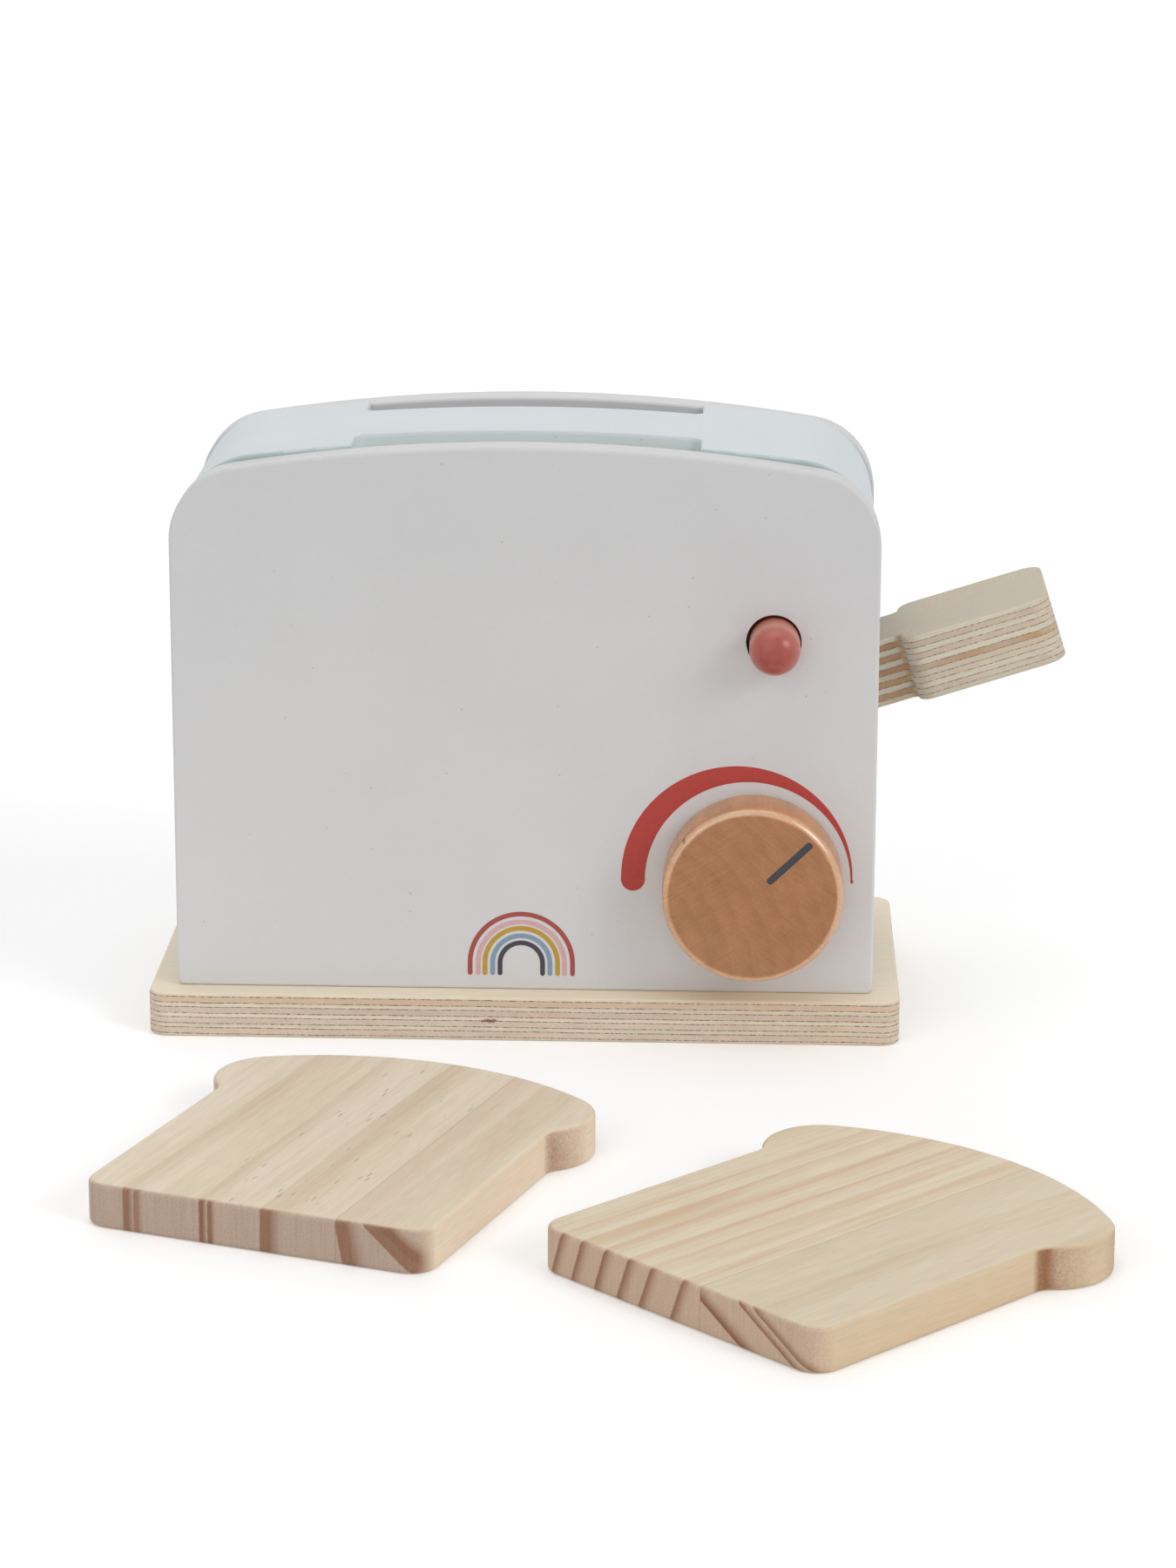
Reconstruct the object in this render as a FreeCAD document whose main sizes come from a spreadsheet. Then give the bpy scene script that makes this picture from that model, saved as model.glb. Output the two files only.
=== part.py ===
"""Toy toaster: a plywood base, painted front and back panels round a slotted core, a lever that lifts
the two wooden slices of toast, a turning knob and a sprung push button.

Millimetres. X runs to the right, Y to the back and Z up. The origin is the centre of the base plate's
bottom face, which is the face that the toaster stands on.
"""
import FreeCAD, Part
import math
import os

import Sketcher
from FreeCAD import Placement, Rotation, Vector

# ---------------------------------------------------------------------------------------------
# Driving dimensions: each one has its own cell, and everything below reads the cells
# ---------------------------------------------------------------------------------------------

SIZES = [
    # base plate, nine-ply birch
    ("base_length", 200.0, "base plate, left to right"),
    ("base_thickness", 12.0, "base plate thickness"),
    ("base_corner", 5.0, "radius of the base's corners in plan"),
    ("base_edge_round", 0.8, "eased edge round the base's top and bottom"),
    ("side_ledge", 7.25, "base left bare beyond the panels at each end"),
    ("front_ledge", 7.5, "base left bare in front of and behind the panels"),
    # front and back panels
    ("panel_height", 146.7, "panels, from the base's top to the middle of the crown"),
    ("panel_thickness", 10.0, "thickness of each panel"),
    ("crown_radius", 480.0, "radius of the panels' arched top"),
    ("shoulder_radius", 19.5, "radius of the panels' shoulders"),
    ("panel_bottom_corner", 2.0, "radius of the panels' bottom corners"),
    ("panel_edge_round", 0.8, "rounding of the panels' edges"),
    # core between the panels
    ("slot_corner", 3.0, "radius in the inner corners of the slots"),
    ("divider_thickness", 35.0, "core left standing between the two slots"),
    ("core_side_inset", 0.75, "the core's sides stand this far inside the panels' edges"),
    ("core_rise", 0.2, "the core's crown is this much higher than the panels' crown"),
    ("core_crown_radius", 600.0, "radius of the core's flatter arch"),
    ("core_shoulder_radius", 22.5, "radius of the core's shoulders"),
    ("core_edge_round", 0.8, "rounding round the mouths of the slots"),
    ("top_block_skirt", 1.0, "straight side of the top block below its shoulders"),
    ("side_thickness", 11.0, "thickness of the two side boards"),
    # lever of eleven-ply board
    ("lever_thickness", 18.0, "lever board thickness"),
    ("lever_tilt", 17.8, "slope of the lever at rest, grip up, in degrees"),
    ("lever_travel", 20.0, "how far the grip can be pressed down, in degrees"),
    ("pivot_inset", 20.75, "lever pivot, in from the panels' right edge"),
    ("pivot_drop", 22.3, "lever pivot below the button's axis"),
    ("pivot_diameter", 8.0, "pivot dowel"),
    ("pivot_seat", 5.0, "depth that the pivot dowel goes into each panel"),
    ("neck_width", 26.0, "lever arm and neck, front to back"),
    ("grip_width", 40.0, "lever grip, front to back"),
    ("grip_start", 31.3, "from the pivot to the grip's shoulder"),
    ("grip_length", 40.7, "length of the grip"),
    ("grip_end_corner", 6.0, "radius of the grip's outer corners"),
    ("grip_shoulder_corner", 4.5, "radius of the grip's inner corners"),
    ("neck_corner", 2.0, "radius where the neck meets the grip"),
    ("lever_edge_round", 0.7, "eased edges of the lever"),
    ("spacer_diameter", 14.0, "spacer tubes that hold the lever in the middle"),
    ("lift_bar_reach", 74.0, "from the pivot to the lift bar"),
    ("lift_bar_diameter", 10.0, "cross dowel that the slices stand on"),
    ("lift_bar_end_gap", 0.8, "gap between each end of the lift bar and its panel"),
    ("arm_end_margin", 9.0, "wood left past the lift bar's axis at the arm's end"),
    ("arm_end_corner", 3.0, "radius of the corners at the arm's end"),
    # timer knob
    ("knob_inset", 32.25, "knob axis, in from the panels' right edge"),
    ("knob_height", 31.3, "knob axis above the base's top"),
    ("knob_diameter", 47.5, "turned knob"),
    ("knob_stand", 15.5, "the knob's face stands this far in front of the panel"),
    ("knob_front_round", 2.1, "rounding of the knob's front edge"),
    ("knob_back_round", 1.0, "rounding of the knob's back edge"),
    ("knob_bore_depth", 10.0, "blind bore in the knob for its axle"),
    ("axle_diameter", 8.0, "knob axle dowel"),
    ("retainer_diameter", 20.0, "disc that holds the knob on, inside the panel"),
    ("retainer_thickness", 5.0, "thickness of that disc"),
    ("axle_tail", 1.0, "axle left standing behind the disc"),
    ("pointer_angle", 44.0, "slope of the pointer groove at rest, in degrees"),
    ("pointer_start", 6.4, "inner end of the pointer, from the knob's axis"),
    ("pointer_length", 13.8, "pointer groove between the centres of its round ends"),
    ("pointer_width", 1.9, "pointer groove width"),
    ("pointer_depth", 0.4, "pointer groove depth"),
    # push button
    ("button_inset", 27.55, "button axis, in from the panels' right edge"),
    ("button_drop", 50.6, "button axis below the panels' crown"),
    ("button_diameter", 13.3, "round peg that is pressed"),
    ("button_stand", 13.1, "the peg stands this far in front of the panel"),
    ("button_travel", 5.0, "how far the peg can be pressed in"),
    ("button_round", 6.0, "rounding of the peg's domed end"),
    ("button_sag_right", 0.25, "peg and its block, to the right of the hole's middle"),
    ("button_sag_down", 0.4, "peg and its block, below the hole's middle"),
    ("collar_diameter", 17.0, "collar turned on the peg, behind the panel"),
    ("collar_thickness", 3.5, "thickness of that collar"),
    ("housing_width", 24.0, "button housing block, width and height"),
    ("housing_back", 3.5, "wood left behind the housing's bore"),
    ("spring_diameter", 9.0, "outside diameter of the button's spring"),
    ("spring_wire", 0.9, "wire of the button's spring"),
    ("spring_turns", 4.0, "turns of the button's spring"),
    ("spring_closed", 4.7, "length of the spring with the peg pressed right in"),
    # fixings
    ("dowel_diameter", 6.0, "glued dowels"),
    ("dowel_length", 24.0, "dowels between a panel and the core"),
    ("dowel_in_panel", 7.0, "length of such a dowel inside the panel"),
    ("top_dowel_inset", 24.75, "dowels in the top block, in from the panels' edges"),
    ("top_dowel_drop", 12.5, "dowels in the top block, below the core's crown"),
    ("upper_dowel_drop", 42.7, "upper dowels in the side boards, below the panels' crown"),
    ("lower_dowel_height", 28.0, "lower dowels in the side boards, above the base's top"),
    ("shoulder_dowel_length", 16.0, "dowels between a side board and the top block"),
    ("shoulder_dowel_y", 10.0, "those dowels, in front of and behind the middle"),
    ("screw_shank", 3.5, "base screws"),
    ("screw_length", 30.0, "base screws, head included"),
    ("screw_head", 7.0, "diameter of the screws' countersunk heads"),
    ("screw_point", 4.0, "length of the screws' points"),
    ("screw_recess", 0.3, "screw heads stand this far inside the base's bottom"),
    ("screw_y", 18.0, "base screws, in front of and behind the middle"),
    ("driver_slot", 1.0, "width of the cross in the screw heads"),
    ("driver_span", 3.6, "span of the cross in the screw heads"),
    ("driver_depth", 1.2, "depth of the cross in the screw heads"),
    # slices of toast
    ("slice_thickness", 11.0, "each wooden slice"),
    ("slice_width", 89.5, "slice between its straight sides"),
    ("slice_height", 112.0, "slice from its bottom to the top of its crown"),
    ("lobe_overhang", 6.0, "each lobe of the slice's crown stands this far past its side"),
    ("lobe_radius", 15.0, "radius of the crown's lobes"),
    ("lobe_drop", 25.2, "centres of the lobes below the slice's crown"),
    ("slice_bottom_corner", 6.5, "radius of the slice's bottom corners"),
    ("slice_neck_corner", 6.0, "radius where the sides meet the lobes"),
    ("slice_edge_round", 1.2, "rounding of the slice's edges"),
    ("left_slice_x", -55.9, "left slice, middle of its bottom edge, sideways"),
    ("left_slice_y", -203.8, "left slice, middle of its bottom edge, front to back"),
    ("left_slice_turn", -19.8, "left slice, turn on the table, in degrees"),
    ("right_slice_x", 43.0, "right slice, middle of its bottom edge, sideways"),
    ("right_slice_y", -242.6, "right slice, middle of its bottom edge, front to back"),
    ("right_slice_turn", -44.4, "right slice, turn on the table, in degrees"),
    # clearances
    ("running_gap", 0.08, "radial gap of a shaft that turns or slides in its hole"),
    ("glue_gap", 0.05, "radial gap round a glued dowel or a screw"),
    ("end_gap", 0.5, "room past the end of a dowel or a screw in its blind hole"),
    ("slice_play", 3.0, "room for a slice's thickness in its slot"),
    ("slice_side_play", 0.75, "room beside each side of a slice in its slot"),
    ("button_gap", 0.6, "radial gap round a centred peg in the front panel's hole"),
    ("face_gap", 0.3, "gap beside a face that moves past another"),
    ("slot_side_gap", 0.4, "gap on each side of the lever's neck in its slot"),
    ("stop_gap", 0.3, "gap between the lever and the ends of its slot at its limits"),
]

# Places that follow from the sizes above, as formulas of the same sheet
DERIVED = [
    ("panel_width", "base_length - 2 * side_ledge", "front and back panels, left to right"),
    ("slot_width", "slice_thickness + slice_play", "each toast slot, front to back"),
    ("slot_length", "slice_width + 2 * slice_side_play", "each toast slot, left to right"),
    ("inner_face", "divider_thickness / 2 + slot_width", "panels' inner faces, from the middle"),
    ("front_face", "inner_face + panel_thickness", "panels' outer faces, from the middle"),
    ("base_depth", "2 * (front_face + front_ledge)", "base plate, front to back"),
    ("side_outer", "panel_width / 2 - core_side_inset", "side boards' outer faces"),
    ("side_inner", "side_outer - side_thickness", "side boards' inner faces"),
    ("side_middle", "side_outer - side_thickness / 2", "middle of the side boards' thickness"),
    ("crown_top", "base_thickness + panel_height", "top of the panels' crown"),
    ("core_top", "crown_top + core_rise", "top of the core's crown"),
    (
        "core_shoulder_z",
        "core_top - core_crown_radius"
        " + sqrt((core_crown_radius - core_shoulder_radius)^2 - (side_outer - core_shoulder_radius)^2)",
        "centres of the core's shoulders",
    ),
    ("joint_height", "core_shoulder_z - top_block_skirt", "where the side boards meet the top block"),
    ("button_x", "panel_width / 2 - button_inset", "button axis, to the right of the middle"),
    ("button_z", "crown_top - button_drop", "button axis, height"),
    ("peg_x", "button_x + button_sag_right", "axis of the loose peg, to the right of the middle"),
    ("peg_z", "button_z - button_sag_down", "axis of the loose peg, height"),
    ("pivot_x", "panel_width / 2 - pivot_inset", "lever pivot, to the right of the middle"),
    ("pivot_z", "button_z - pivot_drop", "lever pivot, height"),
    ("knob_x", "panel_width / 2 - knob_inset", "knob axis, to the right of the middle"),
    ("knob_z", "base_thickness + knob_height", "knob axis, height"),
    ("slot_reach", "side_outer - pivot_x", "from the pivot to the right side board's outer face"),
    (
        "lever_slot_top",
        "pivot_z + slot_reach * tan(lever_tilt * 1deg) + lever_thickness / 2 / cos(lever_tilt * 1deg)"
        " + stop_gap",
        "top of the lever's slot, where the raised lever stops",
    ),
    (
        "lever_slot_bottom",
        "pivot_z - slot_reach * tan((lever_travel - lever_tilt) * 1deg)"
        " - lever_thickness / 2 / cos((lever_travel - lever_tilt) * 1deg) - stop_gap",
        "bottom of the lever's slot, where the pressed lever stops",
    ),
    ("button_hole", "button_diameter + 2 * button_gap", "hole for the peg in the front panel"),
    ("collar_front", "inner_face - face_gap", "front of the button's collar, from the middle"),
    ("collar_back", "collar_front - collar_thickness", "back of the button's collar"),
    (
        "housing_depth",
        "face_gap + collar_thickness + button_travel + spring_closed + housing_back",
        "button housing block, front to back",
    ),
    ("bore_bottom", "inner_face - housing_depth + housing_back", "bottom of the housing's bore"),
    ("retainer_front", "inner_face - face_gap", "front of the knob's retainer disc"),
    ("retainer_back", "retainer_front - retainer_thickness", "back of the knob's retainer disc"),
    ("top_dowel_height", "core_top - top_dowel_drop", "dowels in the top block"),
    ("top_dowel_x", "panel_width / 2 - top_dowel_inset", "dowels in the top block, from the middle"),
    ("upper_dowel_z", "crown_top - upper_dowel_drop", "upper dowels in the side boards"),
    ("lower_dowel_z", "base_thickness + lower_dowel_height", "lower dowels in the side boards"),
    ("screw_hole", "screw_shank + 2 * glue_gap", "holes for the screws' shanks"),
    ("head_depth", "(screw_head - screw_shank) / 2", "depth of the screws' countersunk heads"),
    ("lobe_x", "slice_width / 2 + lobe_overhang - lobe_radius", "centres of the slice's lobes"),
    ("lobe_height", "slice_height - lobe_drop", "lobe centres above the slice's bottom"),
    (
        "slice_crown_radius",
        "(lobe_x^2 + lobe_drop^2 - lobe_radius^2) / (2 * (lobe_drop - lobe_radius))",
        "radius of the slice's crown, which is tangent to both lobes",
    ),
]

ALIASES = {alias for alias, content, meaning in SIZES + DERIVED}

# Places nearer to each other than this are the same place, in millimetres
SAME_PLACE = 0.01
# Directions nearer to each other than this are the same direction
SAME_DIRECTION = 1e-6
# A pocket that removes less than this has missed its body, in cubic millimetres
LEAST_CUT = 0.1

doc = FreeCAD.newDocument("toy_toaster")
sheet = doc.addObject("Spreadsheet::Sheet", "Sizes")
for row, (alias, content, meaning) in enumerate(SIZES + DERIVED, start=1):
    sheet.set("A%d" % row, meaning)
    sheet.set("B%d" % row, "=" + content if isinstance(content, str) else str(content))
    sheet.setAlias("B%d" % row, alias)
doc.recompute()


def number(expression):
    """The value of an expression of the sheet, such as "panel_width / 2"."""
    found = sheet.evalExpression(expression)
    return float(getattr(found, "Value", found))


def bound(expression):
    """The expression as another object writes it, with the sheet's name before each alias."""
    words = ""
    name = ""
    for letter in expression + " ":
        if letter.isalnum() or letter == "_":
            name += letter
            continue
        words += "Sizes." + name if name in ALIASES else name
        words += letter
        name = ""
    return words.strip()


def bind(thing, **expressions):
    """Bind properties of an object; a double underscore stands for a dot in the property's name."""
    for target, expression in expressions.items():
        thing.setExpression(target.replace("__", "."), bound(expression))


# ---------------------------------------------------------------------------------------------
# Sketches and features, as a joiner's drawing has them
# ---------------------------------------------------------------------------------------------

def new_body(label, x="0", y="0", z="0", axis=(0, 0, 1), turn="0"):
    """A PartDesign body with its label and its place; turn is in degrees about axis."""
    body = doc.addObject("PartDesign::Body", label)
    body.Label = label
    place(body, x, y, z, axis, turn)
    return body


def place(thing, x="0", y="0", z="0", axis=(0, 0, 1), turn="0"):
    """Put an object at three expressions, turned by a fourth about an axis."""
    thing.Placement = Placement(
        Vector(number(x), number(y), number(z)), Rotation(Vector(*axis), number(turn))
    )
    bind(thing, Placement__Base__x=x, Placement__Base__y=y, Placement__Base__z=z)


def new_sketch(body, role, along="0"):
    """A sketch on one of the body's own origin planes, moved along the plane's normal."""
    sketch = body.newObject("Sketcher::SketchObject", body.Label + "_sketch")
    plane = [feature for feature in body.Origin.OriginFeatures if feature.Role == role]
    sketch.AttachmentSupport = (plane[0], [""])
    sketch.MapMode = "FlatFace"
    bind(sketch, AttachmentOffset__Base__z=along)
    return sketch


def pin(sketch, edge, end, x, y):
    """Fix a point of a sketch at two expressions; a plain 0 puts it on the sketch's axis."""
    for kind, axis_line, distance in (("DistanceX", -2, x), ("DistanceY", -1, y)):
        if distance == "0":
            sketch.addConstraint(Sketcher.Constraint("PointOnObject", edge, end, axis_line))
        else:
            measure(sketch, kind, distance, -1, 1, edge, end)


def measure(sketch, kind, expression, *places):
    """One dimension of a sketch, bound to an expression."""
    index = sketch.addConstraint(Sketcher.Constraint(kind, *places, number(expression)))
    sketch.setExpression("Constraints[%d]" % index, bound(expression))


def polygon(sketch, corners):
    """A closed outline of straight lines; each corner is a pair of expressions."""
    places = [Vector(number(x), number(y), 0) for x, y in corners]
    edges = [
        sketch.addGeometry(Part.LineSegment(start, end))
        for start, end in zip(places, places[1:] + places[:1])
    ]
    for edge, following, (x, y) in zip(edges, edges[1:] + edges[:1], corners):
        sketch.addConstraint(Sketcher.Constraint("Coincident", edge, 2, following, 1))
        pin(sketch, edge, 1, x, y)


def rectangle(sketch, left, right, bottom, top):
    """A rectangle between four expressions."""
    polygon(sketch, [(left, bottom), (right, bottom), (right, top), (left, top)])


def circle(sketch, x, y, diameter):
    """A circle of a diameter round a place, all expressions."""
    middle = Vector(number(x), number(y), 0)
    index = sketch.addGeometry(Part.Circle(middle, Vector(0, 0, 1), number(diameter) / 2))
    pin(sketch, index, 3, x, y)
    measure(sketch, "Diameter", diameter, index)


def pad(body, sketch, length, reverse=False):
    """Material added from the sketch, along its normal or against it."""
    doc.recompute()
    feature = body.newObject("PartDesign::Pad", body.Label + "_pad")
    feature.Profile = sketch
    feature.Reversed = reverse
    bind(feature, Length=length)
    sketch.Visibility = False
    doc.recompute()
    return feature


def pocket(body, sketch, length, reverse=False):
    """Material cut away behind the sketch, or in front of it when reversed; it must cut something."""
    doc.recompute()
    before = body.Shape.Volume
    feature = body.newObject("PartDesign::Pocket", body.Label + "_pocket")
    feature.Profile = sketch
    feature.Reversed = reverse
    bind(feature, Length=length)
    sketch.Visibility = False
    doc.recompute()
    if body.Shape.Volume > before - LEAST_CUT:
        raise RuntimeError("a pocket of %s cut nothing" % body.Label)
    return feature


def revolve(body, sketch):
    """Material turned round the sketch's vertical axis."""
    doc.recompute()
    feature = body.newObject("PartDesign::Revolution", body.Label + "_turning")
    feature.Profile = sketch
    feature.ReferenceAxis = (sketch, ["V_Axis"])
    feature.Angle = 360
    sketch.Visibility = False
    doc.recompute()
    return feature


def round_edges(body, radius, chosen, kind="Fillet"):
    """Round, or chamfer, the edges for which chosen(edge) is true, in the body's own frame."""
    carrier = body.Tip
    names = ["Edge%d" % order for order, edge in enumerate(carrier.Shape.Edges, 1) if chosen(edge)]
    if not names:
        raise RuntimeError("no edge of %s to round" % body.Label)
    feature = body.newObject("PartDesign::" + kind, body.Label + "_" + kind.lower())
    feature.Base = (carrier, names)
    bind(feature, **{"Radius" if kind == "Fillet" else "Size": radius})
    doc.recompute()
    return feature


def stands_on(edge, axis, height):
    """Whether an edge lies in the plane across an axis (0, 1 or 2 for X, Y or Z) at a height."""
    box = edge.BoundBox
    low = (box.XMin, box.YMin, box.ZMin)[axis]
    high = (box.XMax, box.YMax, box.ZMax)[axis]
    return abs(low - height) < SAME_PLACE and abs(high - height) < SAME_PLACE


def runs_along(edge, axis):
    """Whether an edge is straight and parallel to an axis."""
    if not isinstance(edge.Curve, Part.Line):
        return False
    return abs(abs(edge.Curve.Direction[axis]) - 1) < SAME_DIRECTION


def upright_at(edge, x, y):
    """Whether an edge is upright and stands at a place in plan."""
    middle = edge.CenterOfMass
    near = abs(middle.x - x) < SAME_PLACE and abs(middle.y - y) < SAME_PLACE
    return near and runs_along(edge, 2)


def line(sketch, start, end):
    """A line of a sketch between two pairs of numbers."""
    return sketch.addGeometry(Part.LineSegment(Vector(*start, 0), Vector(*end, 0)))


def arc(sketch, middle, radius, start, end):
    """An arc of a sketch, anticlockwise between two angles in radians."""
    whole = Part.Circle(Vector(*middle, 0), Vector(0, 0, 1), radius)
    return sketch.addGeometry(Part.ArcOfCircle(whole, start, end))


def join(sketch, first, following, kind="Tangent"):
    """The end of one edge meets the start of the next, smoothly or at a corner (Coincident)."""
    sketch.addConstraint(Sketcher.Constraint(kind, first, 2, following, 1))


def mirrored(sketch, first, first_end, second, second_end):
    """Two points of a sketch lie at equal distances on both sides of its vertical axis."""
    sketch.addConstraint(Sketcher.Constraint("Symmetric", first, first_end, second, second_end, -2))


def arched_outline(sketch, width, bottom, top, crown_radius, shoulder_radius):
    """A flat bottom, upright sides, round shoulders and an arched crown, all tangent."""
    half, low, high, big, small = [
        number(size) for size in (width + " / 2", bottom, top, crown_radius, shoulder_radius)
    ]
    crown_middle = high - big
    shoulder_x = half - small
    shoulder_y = crown_middle + math.sqrt((big - small) ** 2 - shoulder_x ** 2)
    slope = math.atan2(shoulder_y - crown_middle, shoulder_x)
    floor = line(sketch, (-half, low), (half, low))
    right = line(sketch, (half, low), (half, shoulder_y))
    right_shoulder = arc(sketch, (shoulder_x, shoulder_y), small, 0, slope)
    crown = arc(sketch, (0, crown_middle), big, slope, math.pi - slope)
    left_shoulder = arc(sketch, (-shoulder_x, shoulder_y), small, math.pi - slope, math.pi)
    left = line(sketch, (-half, shoulder_y), (-half, low))
    join(sketch, floor, right, "Coincident")
    join(sketch, right, right_shoulder)
    join(sketch, right_shoulder, crown)
    join(sketch, crown, left_shoulder)
    join(sketch, left_shoulder, left)
    join(sketch, left, floor, "Coincident")
    mirrored(sketch, floor, 1, floor, 2)
    sketch.addConstraint(Sketcher.Constraint("Vertical", right))
    sketch.addConstraint(Sketcher.Constraint("Vertical", left))
    sketch.addConstraint(Sketcher.Constraint("PointOnObject", crown, 3, -2))
    sketch.addConstraint(Sketcher.Constraint("Equal", right_shoulder, left_shoulder))
    measure(sketch, "Radius", shoulder_radius, right_shoulder)
    measure(sketch, "Radius", crown_radius, crown)
    measure(sketch, "DistanceX", width, floor, 1, floor, 2)
    measure(sketch, "DistanceY", bottom, -1, 1, floor, 1)
    measure(sketch, "DistanceY", top + " - " + crown_radius, -1, 1, crown, 3)


# ---------------------------------------------------------------------------------------------
# Base plate: birch plywood, screwed to the side boards from below
# ---------------------------------------------------------------------------------------------

SCREW_PLACES = [
    (x, y) for x in ("-side_middle", "side_middle") for y in ("-screw_y", "screw_y")
]

base_plate = new_body("base_plate")
base_outline = new_sketch(base_plate, "XY_Plane")
rectangle(base_outline, "-base_length / 2", "base_length / 2", "-base_depth / 2", "base_depth / 2")
pad(base_plate, base_outline, "base_thickness")
round_edges(base_plate, "base_corner", lambda edge: runs_along(edge, 2))
base_top = number("base_thickness")
round_edges(
    base_plate,
    "base_edge_round",
    lambda edge: stands_on(edge, 2, 0) or stands_on(edge, 2, base_top),
)
screw_holes = new_sketch(base_plate, "XY_Plane")
for x, y in SCREW_PLACES:
    circle(screw_holes, x, y, "screw_hole")
pocket(base_plate, screw_holes, "base_thickness", reverse=True)
round_edges(
    base_plate,
    "head_depth + screw_recess + glue_gap",
    lambda edge: isinstance(edge.Curve, Part.Circle)
    and stands_on(edge, 2, 0)
    and abs(edge.Curve.Radius - number("screw_hole / 2")) < SAME_PLACE,
    kind="Chamfer",
)

# ---------------------------------------------------------------------------------------------
# Front and back panels: painted boards, doweled and glued to the core
# ---------------------------------------------------------------------------------------------

TOP_DOWELS = [("-top_dowel_x", "top_dowel_height"), ("top_dowel_x", "top_dowel_height")]
LEFT_DOWELS = [("-side_middle", "upper_dowel_z"), ("-side_middle", "lower_dowel_z")]
RIGHT_DOWELS = [("side_middle", "upper_dowel_z"), ("side_middle", "lower_dowel_z")]
PANEL_DOWELS = TOP_DOWELS + LEFT_DOWELS + RIGHT_DOWELS
DOWEL_HOLE = "dowel_diameter + 2 * glue_gap"


def new_panel(label, inner, outer, towards_front):
    """One panel between two places on Y, with blind holes in its inner face."""
    panel = new_body(label)
    outline = new_sketch(panel, "XZ_Plane", "-(" + inner + ")")
    arched_outline(
        outline, "panel_width", "base_thickness", "crown_top", "crown_radius", "shoulder_radius"
    )
    pad(panel, outline, "panel_thickness", reverse=not towards_front)
    bottom = number("base_thickness")
    round_edges(
        panel, "panel_bottom_corner", lambda edge: runs_along(edge, 1) and stands_on(edge, 2, bottom)
    )
    faces = (number(inner), number(outer))
    round_edges(
        panel,
        "panel_edge_round",
        lambda edge: stands_on(edge, 1, faces[0]) or stands_on(edge, 1, faces[1]),
    )
    pivot_seat = new_sketch(panel, "XZ_Plane", "-(" + inner + ")")
    circle(pivot_seat, "pivot_x", "pivot_z", "pivot_diameter + 2 * glue_gap")
    pocket(panel, pivot_seat, "pivot_seat + end_gap", reverse=towards_front)
    dowel_holes = new_sketch(panel, "XZ_Plane", "-(" + inner + ")")
    for x, z in PANEL_DOWELS:
        circle(dowel_holes, x, z, DOWEL_HOLE)
    pocket(panel, dowel_holes, "dowel_in_panel + end_gap", reverse=towards_front)
    return panel


front_panel = new_panel("front_panel", "-inner_face", "-front_face", towards_front=True)
through_holes = new_sketch(front_panel, "XZ_Plane", "inner_face")
circle(through_holes, "knob_x", "knob_z", "axle_diameter + 2 * running_gap")
circle(through_holes, "button_x", "button_z", "button_hole")
pocket(front_panel, through_holes, "panel_thickness", reverse=True)

back_panel = new_panel("back_panel", "inner_face", "front_face", towards_front=False)

# ---------------------------------------------------------------------------------------------
# Core: a slotted top block on two side boards
# ---------------------------------------------------------------------------------------------


def core_dowel_holes(body, places):
    """Blind holes for the panels' dowels in the front and the back of a piece of the core."""
    for side, reverse in (("inner_face", False), ("-inner_face", True)):
        holes = new_sketch(body, "XZ_Plane", side)
        for x, z in places:
            circle(holes, x, z, DOWEL_HOLE)
        pocket(body, holes, "dowel_length - dowel_in_panel + end_gap", reverse=reverse)


top_block = new_body("top_block")
block_outline = new_sketch(top_block, "XZ_Plane", "inner_face")
arched_outline(
    block_outline,
    "2 * side_outer",
    "joint_height",
    "core_top",
    "core_crown_radius",
    "core_shoulder_radius",
)
pad(top_block, block_outline, "2 * inner_face", reverse=True)
slots = new_sketch(top_block, "XY_Plane", "joint_height")
half_slot = "slot_length / 2"
beyond = "inner_face + face_gap"
rectangle(slots, "-" + half_slot, half_slot, "-(" + beyond + ")", "-divider_thickness / 2")
rectangle(slots, "-" + half_slot, half_slot, "divider_thickness / 2", beyond)
pocket(top_block, slots, "core_top - joint_height + face_gap", reverse=True)
slot_x = number(half_slot)
slot_y = number("divider_thickness / 2")
round_edges(
    top_block,
    "slot_corner",
    lambda edge: any(
        upright_at(edge, x, y) for x in (-slot_x, slot_x) for y in (-slot_y, slot_y)
    ),
)
skirt_top = number("core_shoulder_z")


def round_the_top(edge):
    """Whether an edge goes round the block's arched top or a slot's mouth, and not across the top."""
    above = edge.BoundBox.ZMin > skirt_top - SAME_PLACE
    return above and not runs_along(edge, 1) and not runs_along(edge, 2)


round_edges(top_block, "core_edge_round", round_the_top)
core_dowel_holes(top_block, TOP_DOWELS)
SHOULDER_DOWELS = [
    (x, y)
    for x in ("-side_middle", "side_middle")
    for y in ("-shoulder_dowel_y", "shoulder_dowel_y")
]
block_seats = new_sketch(top_block, "XY_Plane", "joint_height")
for x, y in SHOULDER_DOWELS:
    circle(block_seats, x, y, DOWEL_HOLE)
pocket(top_block, block_seats, "shoulder_dowel_length / 2 + end_gap", reverse=True)


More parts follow.
